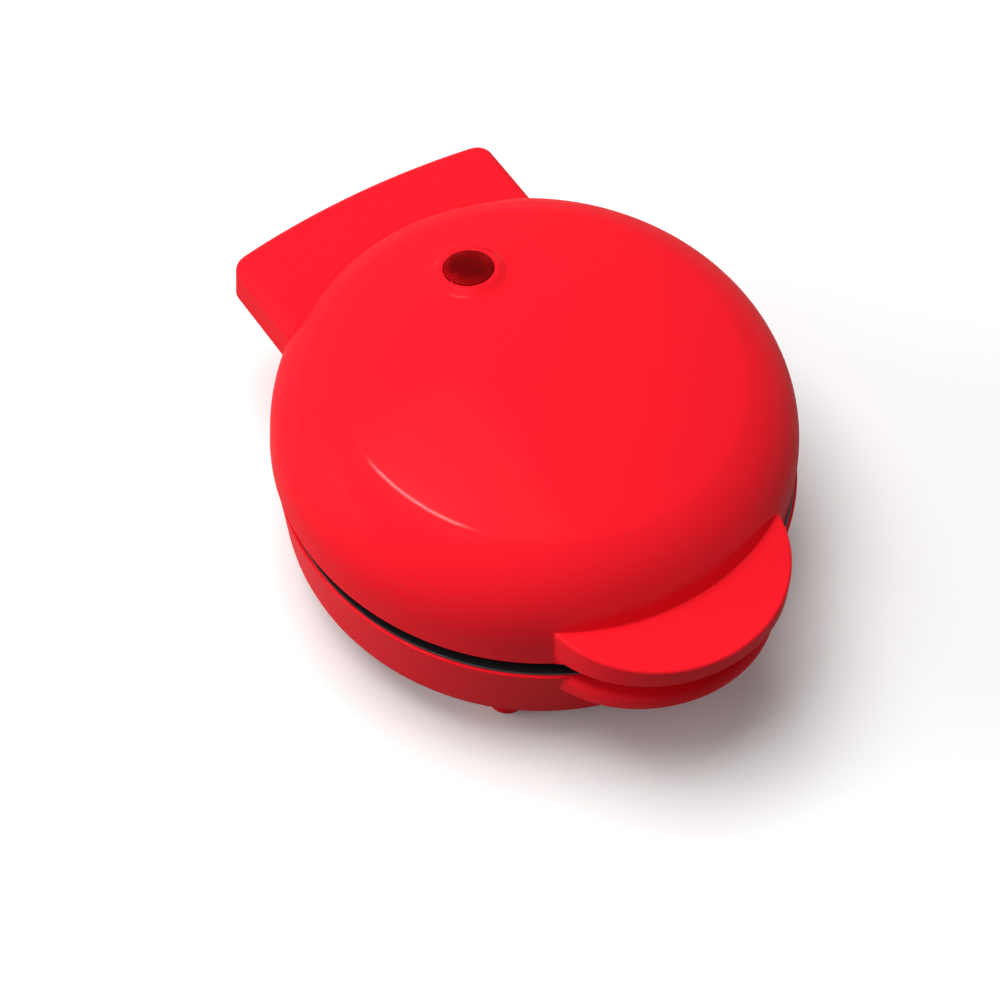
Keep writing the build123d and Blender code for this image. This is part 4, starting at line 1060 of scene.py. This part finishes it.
@dataclass
class BaseShell:
    """The base's red moulding: bowl, lower finger tab, foot bosses, hinge bracket and hinge ears."""

    radius: float = 63.3
    foot_radius: float = 59.3
    floor_z: float = 5.4
    rim_z: float = 32.8
    rim_round: float = 0.4
    wall: float = 2.4
    foot_round: float = 13.0
    tab: FingerTab = field(default_factory=lambda: FingerTab(
        "base_tab", half_width=32.0, half_length=30.6, reach=75.9, inner=48.0,
        top=((-52.65, 32.8), (-80.55, 32.8)), under=((-52.65, 24.6), (-80.55, 28.5)), rounding=2.0))
    feet: Point = (32.2, 37.7)
    boss_radius: float = 4.7
    boss_z: Point = (0.5, 9.0)
    boss_round: float = 1.6
    pad_radius: float = 2.6
    pad_top: float = 3.6
    bracket_half_width: float = 24.0
    bracket_back: float = 79.5
    bracket_z: Point = (6.5, 20.5)
    root_y: float = BOWL_Y + 46.0
    ear_x: Point = (16.0, 27.0)
    ear_radius: float = 5.0
    ear_foot_z: float = 17.0
    ear_web: Point = (BOWL_Y + 64.5, 32.0)
    ear_round: float = 0.6
    pin_bore: float = 1.52
    pin_reach: float = 28.0
    gland_bore: float = 3.9
    gland_z: float = 13.5
    loom_bore: float = 2.4
    loom_place: Point = (-12.5, BOWL_Y + 66.5)
    posts: ScrewPosts = field(default_factory=ScrewPosts)
    post_radius: float = 4.6
    post_top: float = 24.5
    well_top: float = 15.5
    shank_bore: float = 1.8

    def bowl(self, inset: float, top: float) -> Piece:
        """The bowl as a full solid, moved in by inset.

        Args:
            inset: in millimetres.
            top: the height where it is cut off.

        Returns:
            The solid.
        """
        lean = (self.radius - self.foot_radius) / (self.rim_z - self.floor_z)
        side = inset * sqrt(1 + lean**2)
        foot = self.foot_radius + lean * inset - side
        brim = self.foot_radius + lean * (top - self.floor_z) - side
        corners = [(CORE, self.floor_z + inset, 0.0), (foot, self.floor_z + inset, self.foot_round - inset),
                   (brim, top, 0.0 if inset else self.rim_round), (CORE, top, 0.0)]
        return turned("bowl", rounded(corners, 12), BASE_AXIS, FINE)

    def foot_places(self) -> list[Point]:
        """The four feet's places."""
        return [(x, BOWL_Y + y) for x in (-self.feet[0], self.feet[0]) for y in (-self.feet[1], self.feet[1])]

    def boss(self, place: Point) -> Piece:
        """One foot boss, domed below."""
        wide, (low, high) = self.boss_radius, self.boss_z
        corners = [(CORE, low, 0.0), (wide, low, self.boss_round), (wide, high, 0.0), (CORE, high, 0.0)]
        return turned("boss", rounded(corners, 6), place, BOSS)

    def bracket(self) -> Piece:
        """The low box at the back that holds the terminals and the cord gland.

        Returns:
            The solid.
        """
        wide, back = self.bracket_half_width, BOWL_Y + self.bracket_back
        piece = drawn_out("bracket", [(-wide, self.root_y), (wide, self.root_y), (wide, back), (-wide, back)],
                          *self.bracket_z)
        limit = (back - 0.01) * MM
        bevel(piece, lambda e: all(v.co.y > limit for v in e.verts), 2.0, 6)
        return clean(piece)

    def room(self) -> Piece:
        """The space in the bracket, open to the bowl.

        Returns:
            The solid.
        """
        wide, back = self.bracket_half_width - self.wall, BOWL_Y + self.bracket_back - self.wall
        low, high = self.bracket_z
        return drawn_out("room", [(-wide, self.root_y), (wide, self.root_y), (wide, back), (-wide, back)],
                         low + self.wall, high - self.wall)

    def ear(self, way: float) -> Piece:
        """One of the two lugs that the hinge pins are pressed into.

        Args:
            way: 1 for the right one, -1 for the left.

        Returns:
            The solid.
        """
        low, high = sorted((way * self.ear_x[0], way * self.ear_x[1]))
        web_y, web_z = self.ear_web
        side = [(self.root_y, self.ear_foot_z), (PIVOT_Y + 0.3, self.ear_foot_z),
                (PIVOT_Y + 0.3, PIVOT_Z - 4.99)]
        side += arc((PIVOT_Y, PIVOT_Z), self.ear_radius, 274, 490, 30)[1:]
        side += [(PIVOT_Y - 3.5, PIVOT_Z + 3.4), (web_y, web_z), (self.root_y, web_z)]
        piece = drawn_out("ear", side, low, high, Along.X)
        limit = (BOWL_Y + 62.0) * MM
        bevel(piece, lambda e: all(v.co.y > limit for v in e.verts) and in_one_plane(e),
              self.ear_round, 3)
        return clean(piece)

    def cuts(self) -> list[Piece]:
        """What is cut out of the moulding: its hollow, every bore, the screw wells and the pads' pockets.

        Returns:
            The solids.
        """
        hollow = self.bowl(self.wall, self.rim_z + 0.5)
        posts = self.posts.places(BOWL_Y)
        joined(hollow, [plug("post", self.post_radius, (0.0, self.post_top), place, POST)
                        for place in posts], Join.CUT)
        gland = placed(plug("gland_hole", self.gland_bore, (-4.0, 2.0), (0.0, 0.0), BOSS),
                       stood((0.0, BOWL_Y + self.bracket_back, self.gland_z), radians(-90.0)))
        well, shank, step, end = self.posts.well, self.shank_bore, self.well_top, self.post_top + 0.5
        stepped = [(CORE, -1.0), (well, -1.0), (well, step), (shank, step), (shank, end), (CORE, end)]
        return [hollow, self.room(), plug("loom_hole", self.loom_bore, (16.0, 22.0), self.loom_place, HOLE),
                pin_hole(self.pin_bore, self.pin_reach), gland,
                *(turned("well", stepped, place, POST) for place in posts),
                *(plug("pocket", self.pad_radius, (-1.0, self.pad_top + 0.1), place, POST)
                  for place in self.foot_places())]

    def build(self) -> None:
        """Builds the whole moulding."""
        shell = self.bowl(0.0, self.rim_z)
        adds = [self.tab.solid(), self.bracket(), self.ear(1.0), self.ear(-1.0)]
        joined(shell, adds + [self.boss(place) for place in self.foot_places()], Join.ADD)
        joined(shell, self.cuts(), Join.CUT)
        shell.name = "base_moulding"
        dress(smooth(clean(shell)), RED_ABS, "base", "base_housing")

    def pads(self) -> None:
        """The four rubber pads pressed into the bosses, each with a shallow dish below."""
        profile = rounded([(0.5, 0.25, 0.0), (1.5, 0.0, 0.4), (self.pad_radius, 0.0, 0.4),
                           (self.pad_radius, self.pad_top, 0.2), (0.5, self.pad_top, 0.0)], 4)
        for row, y in (("front", -self.feet[1]), ("back", self.feet[1])):
            for side, x in (("left", -self.feet[0]), ("right", self.feet[0])):
                pad = turned(f"rubber_pad_{row}_{side}", profile, (x, BOWL_Y + y), POST)
                dress(smooth(pad), GREY_RUBBER, "base", f"foot_pad_{row}_{side}")


@dataclass
class Half:
    """Which half a piece belongs to, and how its depths run from its cooking face."""

    body: str
    face_z: float
    way: float
    centre_y: float

    def z(self, depth: float) -> float:
        """The height of a depth behind the cooking face."""
        return self.face_z + self.way * depth

    def span(self, one: float, two: float) -> list[float]:
        """The heights of two depths, the lower one first."""
        return sorted((self.z(one), self.z(two)))


BASE = Half("base", BASE_FACE_Z, -1.0, BOWL_Y)
LID = Half("lid", LID_FACE_Z, 1.0, LID_Y)


@dataclass
class Bezel:
    """The black ring round a plate: a rounded face, a skirt, screw posts and clip bosses."""

    half: Half
    outer: float
    skirt: float
    # A flange is a thin black brim over the red rim's top that stands in for the lid's shade there: painted
    # shade
    flange: Point = (0.0, 0.0)
    inner: float = 45.0
    lip: float = 2.3
    skirt_depth: float = 5.8
    skirt_wall: float = 2.0
    bore: float = 50.1
    rounding: float = 0.9
    lip_round: float = 0.3
    skirt_round: float = 0.4
    bore_round: float = 0.5
    posts: ScrewPosts = field(default_factory=ScrewPosts)
    post_radii: Point = (1.6, 3.5)
    post_depth: float = 8.7
    clip_circle: float = 53.9
    clip_radii: Point = (1.2, 2.4)
    clip_depth: float = 4.5

    def ring(self) -> Piece:
        """The ring itself, its bore cut on the plate's axis and eased at the face.

        Returns:
            The solid.
        """
        half, wall = self.half, self.skirt - self.skirt_wall
        # The flange's black brim is painted shade on the rim's top
        reach, thick = self.flange
        edge = [(reach, 0.0, thick * 0.25), (reach, thick, 0.0), (self.outer, thick, 0.0)]
        face = edge if reach else [(self.outer, 0.0, self.rounding)]
        lip, deep = (self.lip, self.lip_round), (self.skirt_depth, self.skirt_round)
        corners = [(self.inner, 0.0, 0.0), *face, (self.outer, *lip), (self.skirt, *lip), (self.skirt, *deep),
                   (wall, *deep), (wall, *lip), (self.inner, self.lip, 0.0), (self.inner, 0.0, 0.0)]
        ring = turned("ring", [(r, half.z(d)) for r, d in rounded(corners, 5)], (0.0, half.centre_y), FINE)
        joined(ring, [plug("hole", self.bore, half.span(-2.0, 8.0), BASE_AXIS, FINE)], Join.CUT)
        level, limit = half.z(0.0) * MM, (self.bore + 0.05) * MM
        bevel(ring, lambda e: all(abs(v.co.z - level) < NEAR and hypot(v.co.x, v.co.y - BOWL_Y * MM) < limit
                                  for v in e.verts), self.bore_round, 4)
        return ring

    def build(self) -> None:
        """Builds the ring with its posts and bosses."""
        half, ring = self.half, self.ring()
        start, places = self.lip - 0.3, self.posts.places(half.centre_y)
        (bore, wide), (low, high) = self.post_radii, half.span(start, self.post_depth)
        section = rounded([(bore, low, 0), (wide, low, 0.2), (wide, high, 0.2), (bore, high, 0),
                           (bore, low, 0)], 2)
        parts = [ring] + [turned("post", section, place, POST) for place in places]
        parts += [tube("clip_boss", self.clip_radii, half.span(start, self.clip_depth), place, HOLE)
                  for place in ring_places(self.clip_circle, (0, 90, 180, 270), BOWL_Y)]
        if half is LID:
            joined(ring, [plug("well", self.posts.well, half.span(-1.0, 2.0), place, POST)
                          for place in places], Join.CUT)
        piece = gathered(f"{half.body}_ring", parts)
        dress(smooth(clean(piece)), BLACK_PBT, half.body, f"{half.body}_bezel")


@dataclass
class GridPlate:
    """A die-cast cooking plate: a rim that holds the batter, rounded grid pegs, and its back."""

    half: Half
    radius: float = 49.6
    dam: float = 2.4
    dam_draft: float = 6.0
    dam_round: float = 0.8
    floor_round: float = 1.4
    depth: float = 6.5
    floor: float = 3.0
    flange: float = 1.7
    flange_depths: Point = (2.5, 4.5)
    groove_circle: float = 36.0
    groove_radius: float = 3.3
    groove_depth: float = 11.8
    peg: float = 7.8
    pitch: float = 12.4
    peg_height: float = 4.2
    peg_corner: float = 1.1
    peg_round: float = 0.8
    draft: float = 8.0
    boss_circle: float = 22.0
    boss_radii: Point = (1.6, 4.0)
    boss_height: float = 9.4
    pad_radii: Point = (1.2, 3.2)
    pad_height: float = 2.0
    pad_x: float = 11.5

    @property
    def back(self) -> float:
        """The depth of the plate's back."""
        return self.depth + self.floor

    def disc(self) -> Piece:
        """The plate without its pegs: dam, clip flange, and the groove that the element lies in.

        Returns:
            The solid.
        """
        hollow, lip = self.radius - self.dam, self.radius + self.flange
        foot = hollow - self.depth * tan(radians(self.dam_draft))
        (top, under), soft = self.flange_depths, self.dam_round
        corners = [(CORE, self.depth, 0.0), (foot, self.depth, self.floor_round), (hollow, 0.0, soft),
                   (self.radius, 0.0, soft), (self.radius, top, 0.0), (lip, top, 0.3), (lip, under, 0.3),
                   (self.radius, under, 0.0), (self.radius, self.back, soft)]
        path = rounded(corners + [(CORE, self.back, 0.0)], 5)[:-1]
        groove = [(self.groove_circle + self.groove_radius * cos(radians(a)),
                   self.groove_depth - self.groove_radius * sin(radians(a))) for a in range(45, 136, 10)]
        path += [p for p in groove if p[1] < self.back] + [(CORE, self.back)]
        return turned("disc", [(r, self.half.z(d)) for r, d in path], BASE_AXIS, DISC)

    def peg_solid(self) -> Piece:
        """One peg: a square post with draft, rounded corners and a rounded top.

        Returns:
            The solid.
        """
        low, high = self.half.z(self.depth + 0.4), self.half.z(self.depth - self.peg_height)
        foot = self.peg / 2
        corners = [(sx * foot, sy * foot, self.peg_corner)
                   for sx, sy in ((-1, -1), (1, -1), (1, 1), (-1, 1), (-1, -1))]
        piece = drawn_out("peg", rounded(corners, 3)[:-1], low, high)
        share = 1.0 - 2 * self.peg_height * tan(radians(self.draft)) / self.peg
        tip = high * MM
        with editing(piece):
            pick(piece, Pick.VERTS, lambda v: abs(v.co.z - tip) < NEAR / 10)
            bpy.ops.transform.resize(value=(share, share, 1.0), center_override=(0.0, 0.0, tip))
        bevel(piece, lambda e: all(abs(v.co.z - tip) < NEAR / 10 for v in e.verts), self.peg_round, 4)
        return clean(piece)

    def build(self) -> None:
        """Builds the plate."""
        half, corner = self.half, self.peg / 2
        reach = self.radius - self.dam - 0.6 - self.depth * sin(radians(self.dam_draft))
        model = self.peg_solid()
        parts = [self.disc()]
        parts += [copied(model, (i * self.pitch, BOWL_Y + j * self.pitch, 0.0))
                  for i in range(-3, 4) for j in range(-3, 4)
                  if hypot(abs(i) * self.pitch + corner, abs(j) * self.pitch + corner) < reach]
        bpy.data.objects.remove(model, do_unlink=True)
        start = self.back - 0.5
        parts += [tube("boss", self.boss_radii, half.span(start, self.back + self.boss_height), place, HOLE)
                  for place in ring_places(self.boss_circle, (45, 135, 225, 315), BOWL_Y)]
        span = half.span(start, self.back + self.pad_height)
        parts += [tube("pad", self.pad_radii, span, (x, BOWL_Y), HOLE) for x in (-self.pad_x, self.pad_x)]
        piece = gathered(f"{half.body}_grid_plate", parts)
        dress(smooth(clean(piece)), PTFE_COAT, half.body, f"{half.body}_plate")


@dataclass
class Lens:
    """The indicator lens: a crowned disc with an eased edge and a hollow stem."""

    shell: LidShell
    crown: float = 0.5
    proud: float = 0.35
    stem: float = 9.0
    stem_bore: float = 3.4
    core: float = 0.2
    top_rings: tuple[float, ...] = (5.6, 4.8, 4.0, 3.2, 2.4, 1.6, 0.8)

    def build(self) -> None:
        """Builds the lens."""
        radius, stem = self.shell.lens_radius, self.shell.stem_radius
        seat = self.shell.ring_height - self.shell.lens_edge + 0.1
        rim = self.shell.ring_height + self.proud
        ball = (radius**2 + self.crown**2) / (2 * self.crown)
        top = [(r, rim + self.crown - ball + sqrt(ball**2 - r**2)) for r in (*self.top_rings, self.core)]
        bore, deep = self.stem_bore, -self.stem
        profile = [(self.core, seat), (bore, seat), (bore, deep), (stem, deep), (stem, seat), (radius, seat),
                   (radius, rim - 0.35), (radius - 0.15, rim - 0.08), *top]
        piece = placed(turned("ribbed_lens", profile, (0.0, 0.0), SMALL), self.shell.lens_place())
        dress(smooth(piece, 40.0), RED_POLYCARBONATE, "lid", "indicator_lens")


NODE_FINISHES: dict[str, Finish] = {
    "element": STEEL_SHEATH, "reflector": ROLLED_ALUMINIUM, "plate_clips": ZINC_STEEL, "screws": ZINC_STEEL,
    "thermal_fuse": ROLLED_ALUMINIUM, "fuse_sleeve": GLASS_BRAID, "fuse_saddle": ZINC_STEEL,
    "terminal_block": NYLON, "leads": WHITE_SILICONE, "loom": BLACK_SILICONE, "cord_gland": BLACK_RUBBER,
    "hinge_pin": ZINC_STEEL, "thermostat_cap": ROLLED_ALUMINIUM, "thermostat": PHENOLIC,
    "lens_nut": ZINC_STEEL, "neon_lamp": LAMP_GLASS, "lamp_holder": NYLON, "lamp_resistor": RESISTOR_LACQUER,
    "housing": RED_ABS, "bezel": BLACK_PBT, "plate": PTFE_COAT, "lens": RED_POLYCARBONATE,
    "foot_pad": GREY_RUBBER,
}


def dress_nodes() -> None:
    """Gives every CAD node its finish: the first key that is in its name decides."""
    for name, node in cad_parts.items():
        finish = next(finish for key, finish in NODE_FINISHES.items() if key in name)
        node.data.materials.clear()
        node.data.materials.append(finish.material())
        log.info("%s keeps its shape", name)


@dataclass
class Studio:
    """The camera at the photograph's view, the soft lights, the pale floor and the white backdrop."""

    azimuth: float = -39.43
    elevation: float = 54.33
    roll: float = 6.34
    distance: float = 900.0
    frame_px: float = 1000.0
    focal_px: float = 3712.48
    centre_px: Point = (536.57, 463.08)
    sensor: float = 36.0
    target: tuple[float, float, float] = (0.0, BOWL_Y, 30.0)
    sky_fill: float = 0.19
    floor_size: float = 12.0
    floor_glow: Point = (0.05, 1.0)
    glow_reach: Point = (0.30, 1.10)

    def camera(self) -> None:
        """Sets the camera up."""
        az, el, roll = (radians(a) for a in (self.azimuth, self.elevation, self.roll))
        back = Vector((sin(az) * cos(el), -cos(az) * cos(el), sin(el)))
        right = Vector((cos(az), sin(az), 0.0))
        up = back.cross(right)
        right, up = cos(roll) * right + sin(roll) * up, -sin(roll) * right + cos(roll) * up
        place = Vector(self.target) * MM + back * self.distance * MM
        lens = bpy.data.cameras.new("view")
        lens.sensor_width = self.sensor
        lens.lens = self.focal_px / self.frame_px * self.sensor
        lens.shift_x = 0.5 - self.centre_px[0] / self.frame_px
        lens.shift_y = self.centre_px[1] / self.frame_px - 0.5
        lens.clip_start, lens.clip_end = 0.01, 50.0
        camera = bpy.data.objects.new("view", lens)
        camera.matrix_world = Matrix((
            (right.x, up.x, back.x, place.x), (right.y, up.y, back.y, place.y),
            (right.z, up.z, back.z, place.z), (0.0, 0.0, 0.0, 1.0)))
        bpy.context.scene.collection.objects.link(camera)
        bpy.context.scene.camera = camera

    def lamp(self, name: str, place: tuple[float, float, float], size: Point, watts: float, role: Role,
             along: tuple[float, float, float] = (1.0, 0.0, 0.0)) -> None:
        """Adds a soft box that looks at the object.

        Args:
            name: its name.
            place: its centre, in metres.
            size: its width and height, in metres.
            watts: its power.
            role: whether it lights the surfaces or makes their highlights.
            along: the way that its width runs.
        """
        light = bpy.data.lights.new(name, "AREA")
        light.shape = "RECTANGLE"
        light.size, light.size_y = size
        light.energy = watts
        lamp = bpy.data.objects.new(name, light)
        back = (Vector(place) - Vector((0.0, 0.0, 0.04))).normalized()
        wide = (Vector(along) - Vector(along).dot(back) * back).normalized()
        turn = Matrix((wide, back.cross(wide), back)).transposed()
        lamp.matrix_world = Matrix.Translation(place) @ turn.to_4x4()
        lamp.visible_glossy = role is Role.HIGHLIGHT
        lamp.visible_diffuse = role is Role.LIGHT
        bpy.context.scene.collection.objects.link(lamp)

    def floor(self) -> None:
        """Lays the pale floor, which keeps the object's shadow and runs out to white far from it."""
        bpy.ops.object.select_all(action="DESELECT")
        bpy.ops.mesh.primitive_plane_add(size=self.floor_size, location=(0.0, 0.0, -0.0002))
        sheet = bpy.context.object
        sheet.name = "studio_floor"
        with editing(sheet):
            bpy.ops.mesh.select_all(action="SELECT")
            bpy.ops.mesh.subdivide(number_cuts=3)
        paper = bpy.data.materials.new("white_backdrop_paper")
        paper.use_nodes = True
        tree = paper.node_tree
        tree.nodes.clear()
        place = add_node(tree, "TexCoord").outputs["Object"]
        fibre = add_node(tree, "TexNoise", {"-Scale": 300.0}, {"Vector": place})
        bump = add_node(tree, "Bump", {"-Strength": 0.1, "-Distance": 0.0002},
                        {"Height": fibre.outputs["Fac"]})
        white, pale = (add_node(tree, "BsdfDiffuse", {"-Color": linear(code), "-Roughness": 0.5},
                                {"Normal": bump.outputs["Normal"]}) for code in ("#FEFEFE", "#8A8A8A"))
        away = add_node(tree, "VectorMath", {"operation": "LENGTH"}, {0: place})
        (near, far), (faint, full) = self.glow_reach, self.floor_glow
        sweep = add_node(tree, "MapRange", {
            "interpolation_type": "SMOOTHSTEP", "-From Min": near, "-From Max": far, "-To Min": faint,
            "-To Max": full}, {"Value": away.outputs["Value"]})
        glow = add_node(tree, "Emission", None, {"Strength": sweep.outputs["Result"]})
        lit = add_node(tree, "AddShader", None, {0: white.outputs["BSDF"], 1: glow.outputs["Emission"]})
        mix = add_node(tree, "MixShader", None, {
            0: self.seen_directly(tree), 1: pale.outputs["BSDF"], 2: lit.outputs["Shader"]})
        add_node(tree, "OutputMaterial", None, {"Surface": mix.outputs["Shader"]})
        sheet.data.materials.append(paper)
        settle(sheet)

    def seen_directly(self, tree: Tree) -> Socket:
        """One for a ray from the camera, off a gloss or through a clear piece, and nought for any other.

        Args:
            tree: the node tree that it is added to.

        Returns:
            The output.
        """
        path = add_node(tree, "LightPath")
        total: Socket = path.outputs["Is Camera Ray"]
        for name in ("Is Glossy Ray", "Is Transmission Ray"):
            step = add_node(tree, "Math", {"operation": "MAXIMUM"}, {0: total, 1: path.outputs[name]})
            total = step.outputs["Value"]
        return total

    def world(self) -> None:
        """White where the camera, a reflection or a clear piece sees it, and softer as light."""
        sky = bpy.data.worlds.new("white_room")
        bpy.context.scene.world = sky
        sky.use_nodes = True
        tree = sky.node_tree
        tree.nodes.clear()
        fill, white = (add_node(tree, "Background", {"-Color": linear("#FFFFFF"), "-Strength": strength})
                       for strength in (self.sky_fill, 1.0))
        mix = add_node(tree, "MixShader", None, {
            0: self.seen_directly(tree), 1: fill.outputs["Background"], 2: white.outputs["Background"]})
        add_node(tree, "OutputWorld", None, {"Surface": mix.outputs["Shader"]})

    def build(self) -> None:
        """Sets the whole studio up."""
        self.camera()
        self.floor()
        self.world()
        self.lamp("overhead_soft_box", (-0.28, 0.34, 1.55), (1.1, 1.1), 23.0, Role.LIGHT)
        self.lamp("side_soft_box", (-1.30, 0.72, 0.52), (0.9, 0.6), 13.0, Role.LIGHT)
        self.lamp("strip_light", (-0.33, 0.42, 1.50), (0.58, 0.09), 14.0, Role.HIGHLIGHT, (0.27, -0.96, 0.0))
        bpy.context.scene.view_settings.view_transform = "Standard"


def main() -> None:
    """Builds the studio and every piece, in order."""
    logging.basicConfig(level=logging.INFO, format="%(message)s")
    Studio().build()
    dress_nodes()
    shell = LidShell()
    shell.build()
    base = BaseShell()
    base.build()
    base.pads()
    Bezel(LID, outer=61.8, skirt=60.5).build()
    # The base ring's flange is a black brim over the red rim's top, painted shade under the lid
    Bezel(BASE, outer=60.4, skirt=59.49, flange=(62.5, 0.48)).build()
    GridPlate(LID).build()
    GridPlate(BASE).build()
    Lens(shell).build()
    bpy.context.view_layer.update()


if __name__ == "__main__":
    main()
